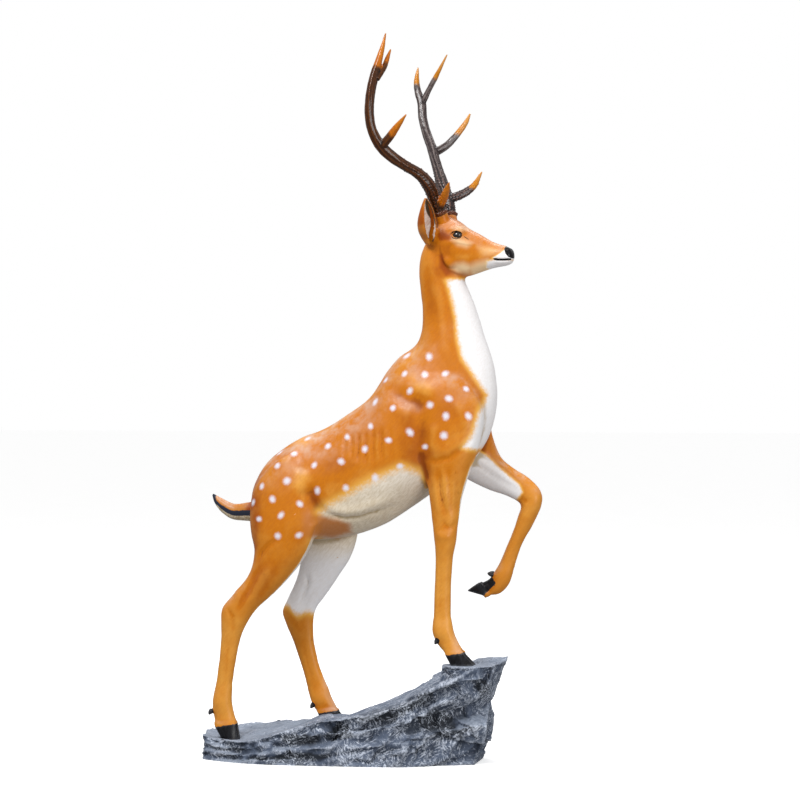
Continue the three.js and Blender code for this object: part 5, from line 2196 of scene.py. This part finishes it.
@dataclass(frozen=True)
class Pearls:
    """The small pearls strewn over an antler's foot by a node tree."""

    size: float = 1.7
    apart: float = 6.5
    seed: int = 4

    def tree(self) -> NodeTree:
        """Builds the node tree with its named inputs."""
        tree = bpy.data.node_groups.new("horn_pearls", "GeometryNodeTree")
        sizes = {"Pearl Size": "Float", "Apart": "Float", "Seed": "Int"}
        for name, kind in {"Antler": "Geometry", **sizes, "Finish": "Material"}.items():
            tree.interface.new_socket(name, in_out="INPUT", socket_type=f"NodeSocket{kind}")
        tree.interface.new_socket("Pearls", in_out="OUTPUT", socket_type="NodeSocketGeometry")
        board = Board(tree)
        got = board.node("NodeGroupInput").outputs
        foot = board.node("GeometryNodeInputNamedAttribute", {"Name": "foot"}, data_type="FLOAT")
        strewn = board.node(
            "GeometryNodeDistributePointsOnFaces",
            {"Mesh": got["Antler"], "Distance Min": got["Apart"], "Density Max": 40000.0},
            distribute_method="POISSON",
        )
        tree.links.new(got["Seed"], strewn.inputs["Seed"])
        tree.links.new(foot.outputs["Attribute"], strewn.inputs["Density Factor"])
        round_shape = {"Segments": 8, "Rings": 5, "Radius": got["Pearl Size"]}
        pearl = board.node("GeometryNodeMeshUVSphere", round_shape)
        size = board.node("FunctionNodeRandomValue", data_type="FLOAT")
        size.inputs[2].default_value = 0.6
        size.inputs[3].default_value = 1.15
        tree.links.new(got["Seed"], size.inputs["Seed"])
        where = {name: strewn.outputs[name] for name in ("Points", "Rotation")}
        what = {"Instance": pearl.outputs["Mesh"], "Scale": size.outputs[1]}
        placed = board.node("GeometryNodeInstanceOnPoints", {**where, **what})
        real = board.node("GeometryNodeRealizeInstances", {"Geometry": placed.outputs[0]})
        wanted = {"Geometry": real.outputs[0], "Material": got["Finish"]}
        dressed = board.node("GeometryNodeSetMaterial", wanted)
        board.node("NodeGroupOutput", {0: dressed.outputs[0]})
        return tree

    def build(self, antler: Object, finish: Material) -> Object:
        """The pearls of one antler as a plain mesh.

        Args:
            antler: The antler's object.
            finish: The pearls' material.

        Returns:
            The object.
        """
        thing = antler.copy()
        thing.data = antler.data.copy()
        thing.name = antler.name.replace("_horn", "_pearls")
        linked(thing)
        strewing = thing.modifiers.new("pearls", "NODES")
        strewing.node_group = self.tree()
        values = {"Pearl Size": self.size * MM, "Apart": self.apart * MM, "Seed": self.seed, "Finish": finish}
        for item in strewing.node_group.interface.items_tree:
            if item.name in values:
                strewing[item.identifier] = values[item.name]
        settled(thing)
        return thing


# Studio


@dataclass(frozen=True)
class Studio:
    """The camera, the pale floor and the soft light."""

    target: Row = (128, 0, 1000)
    distance: float = 6000.0
    azimuth: float = 14.0
    lens: float = 96.75
    floor_reach: float = 60.0
    above: float = 0.58
    below: float = 0.3
    glow: float = 0.5

    def camera(self) -> None:
        """Sets the camera up."""
        turn = math.radians(self.azimuth)
        eye = bpy.data.cameras.new("camera")
        eye.lens, eye.sensor_width = self.lens, 36.0
        eye.clip_end = 200.0
        made = bpy.data.objects.new("camera", eye)
        way = Vector((math.sin(turn), -math.cos(turn), 0))
        made.location = (Vector(self.target) + way * self.distance) * MM
        made.rotation_euler = (math.pi / 2, 0, turn)
        bpy.context.scene.camera = linked(made)

    def floor(self) -> None:
        """Lays a plain pale floor."""
        reach = self.floor_reach
        mesh = bpy.data.meshes.new("floor")
        corners = [(-reach, -reach, 0), (reach, -reach, 0), (reach, reach, 0), (-reach, reach, 0)]
        mesh.from_pydata(corners, [], [(0, 1, 2, 3)])
        made = linked(bpy.data.objects.new("floor", mesh))
        material, board = new_material("pale_floor")
        cloud = board.noise(board.place(), 3.0, 3)
        tone = board.mix(cloud, paint(246, 246, 246), paint(250, 250, 250))
        board.shader(Base_Color=tone, Roughness=0.9, Emission_Color=tone, Emission_Strength=self.glow)
        mesh.materials.append(material)
        made.visible_diffuse = made.visible_glossy = False

    def light(self, name: str, place: Row, size: float, power: float) -> None:
        """Hangs one soft light that faces the stag.

        Args:
            name: Its name.
            place: Where it hangs, in metres.
            size: How wide it is, in metres.
            power: Its power, in watts.
        """
        lamp = bpy.data.lights.new(name, "AREA")
        lamp.shape, lamp.size, lamp.energy = "DISK", size, power
        made = bpy.data.objects.new(name, lamp)
        made.location = place
        aim = Vector((0.1, 0.0, 0.95)) - Vector(place)
        made.rotation_euler = aim.to_track_quat("-Z", "Y").to_euler()
        linked(made)

    def sky(self) -> None:
        """A white room to look at, which lights the stag from above more than from below."""
        world = bpy.data.worlds.new("room")
        bpy.context.scene.world = world
        world.use_nodes = True
        board = Board(world.node_tree)
        way = board.node("ShaderNodeTexCoord").outputs["Generated"]
        dome = board.spread(board.axes(way)["Z"], -0.5, 0.9, self.below, self.above)
        seen = board.node("ShaderNodeLightPath").outputs["Is Camera Ray"]
        lit = board.times(dome, board.sum("SUBTRACT", 1.0, seen))
        made = board.node("ShaderNodeBackground", {0: paint(255, 255, 255), 1: board.sum("ADD", lit, seen)})
        board.node("ShaderNodeOutputWorld", {0: made.outputs[0]})

    def build(self) -> None:
        """Sets the whole studio up."""
        self.camera()
        self.floor()
        self.sky()
        self.light("key", (-1.0, -3.2, 4.4), 1.8, 160)
        self.light("fill", (3.8, -3.2, 1.3), 2.4, 88)
        self.light("top", (0.4, 1.4, 4.4), 2.0, 60)
        bpy.context.scene.view_settings.view_transform = "Standard"


# Putting it together


def shown(thing: Object, finish: Material, slot: Slot, *nodes: str) -> None:
    """Dresses a piece, lets it ride on the part and hides the solids that it stands for.

    Args:
        thing: The piece.
        finish: Its material.
        slot: A material slot; not used.
        nodes: The solids that it replaces.
    """
    thing.data.materials.clear()
    thing.data.materials.append(finish)
    thing.data.polygons.foreach_set("use_smooth", [True] * len(thing.data.polygons))
    thing.data.update()
    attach(thing, BODY)
    if nodes:
        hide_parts(*nodes)
    log.info("%s: %d faces", thing.name, len(thing.data.polygons))


def main() -> None:
    """Builds the stag, its antlers and its rock, and dresses them."""
    logging.basicConfig(level=logging.INFO, format="%(message)s")
    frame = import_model()
    effects = Effects()
    Studio().build()

    rock = Rock(frame["nodes"]["rock_base"]).build()
    shown(rock, RockFinish().build(effects), Slot.ROCK, "rock_base")

    figure = Figure()
    shown(figure.build(), CoatFinish().build(effects), Slot.COAT, "deer_figure")
    glass = EyeFinish().build(effects)
    for side in Side:
        shown(figure.eye(side), glass, Slot.COAT)

    # The antlers share one varnish: the far one's greyer, paler colours are a painted reflection of the
    # bright sky.
    finishes = (
        AntlerFinish(
            "near_antler_varnish",
            paint(24, 11, 2), paint(64, 30, 3), paint(112, 62, 16),
            paint(190, 104, 2), paint(206, 124, 24),
        ),
        AntlerFinish(
            "far_antler_varnish",
            paint(24, 19, 20), paint(58, 46, 46), paint(150, 138, 134),
            paint(208, 132, 24), paint(224, 160, 84),
        ),
    )
    for antler, finish in zip(ANTLERS, finishes):
        varnish = finish.build(effects)
        horn = antler.build()
        pearls = Pearls().build(horn, varnish)
        shown(horn, varnish, Slot.ANTLER, f"antler_{antler.side.name.lower()}")
        shown(pearls, varnish, Slot.ANTLER)


if __name__ == "__main__":
    main()
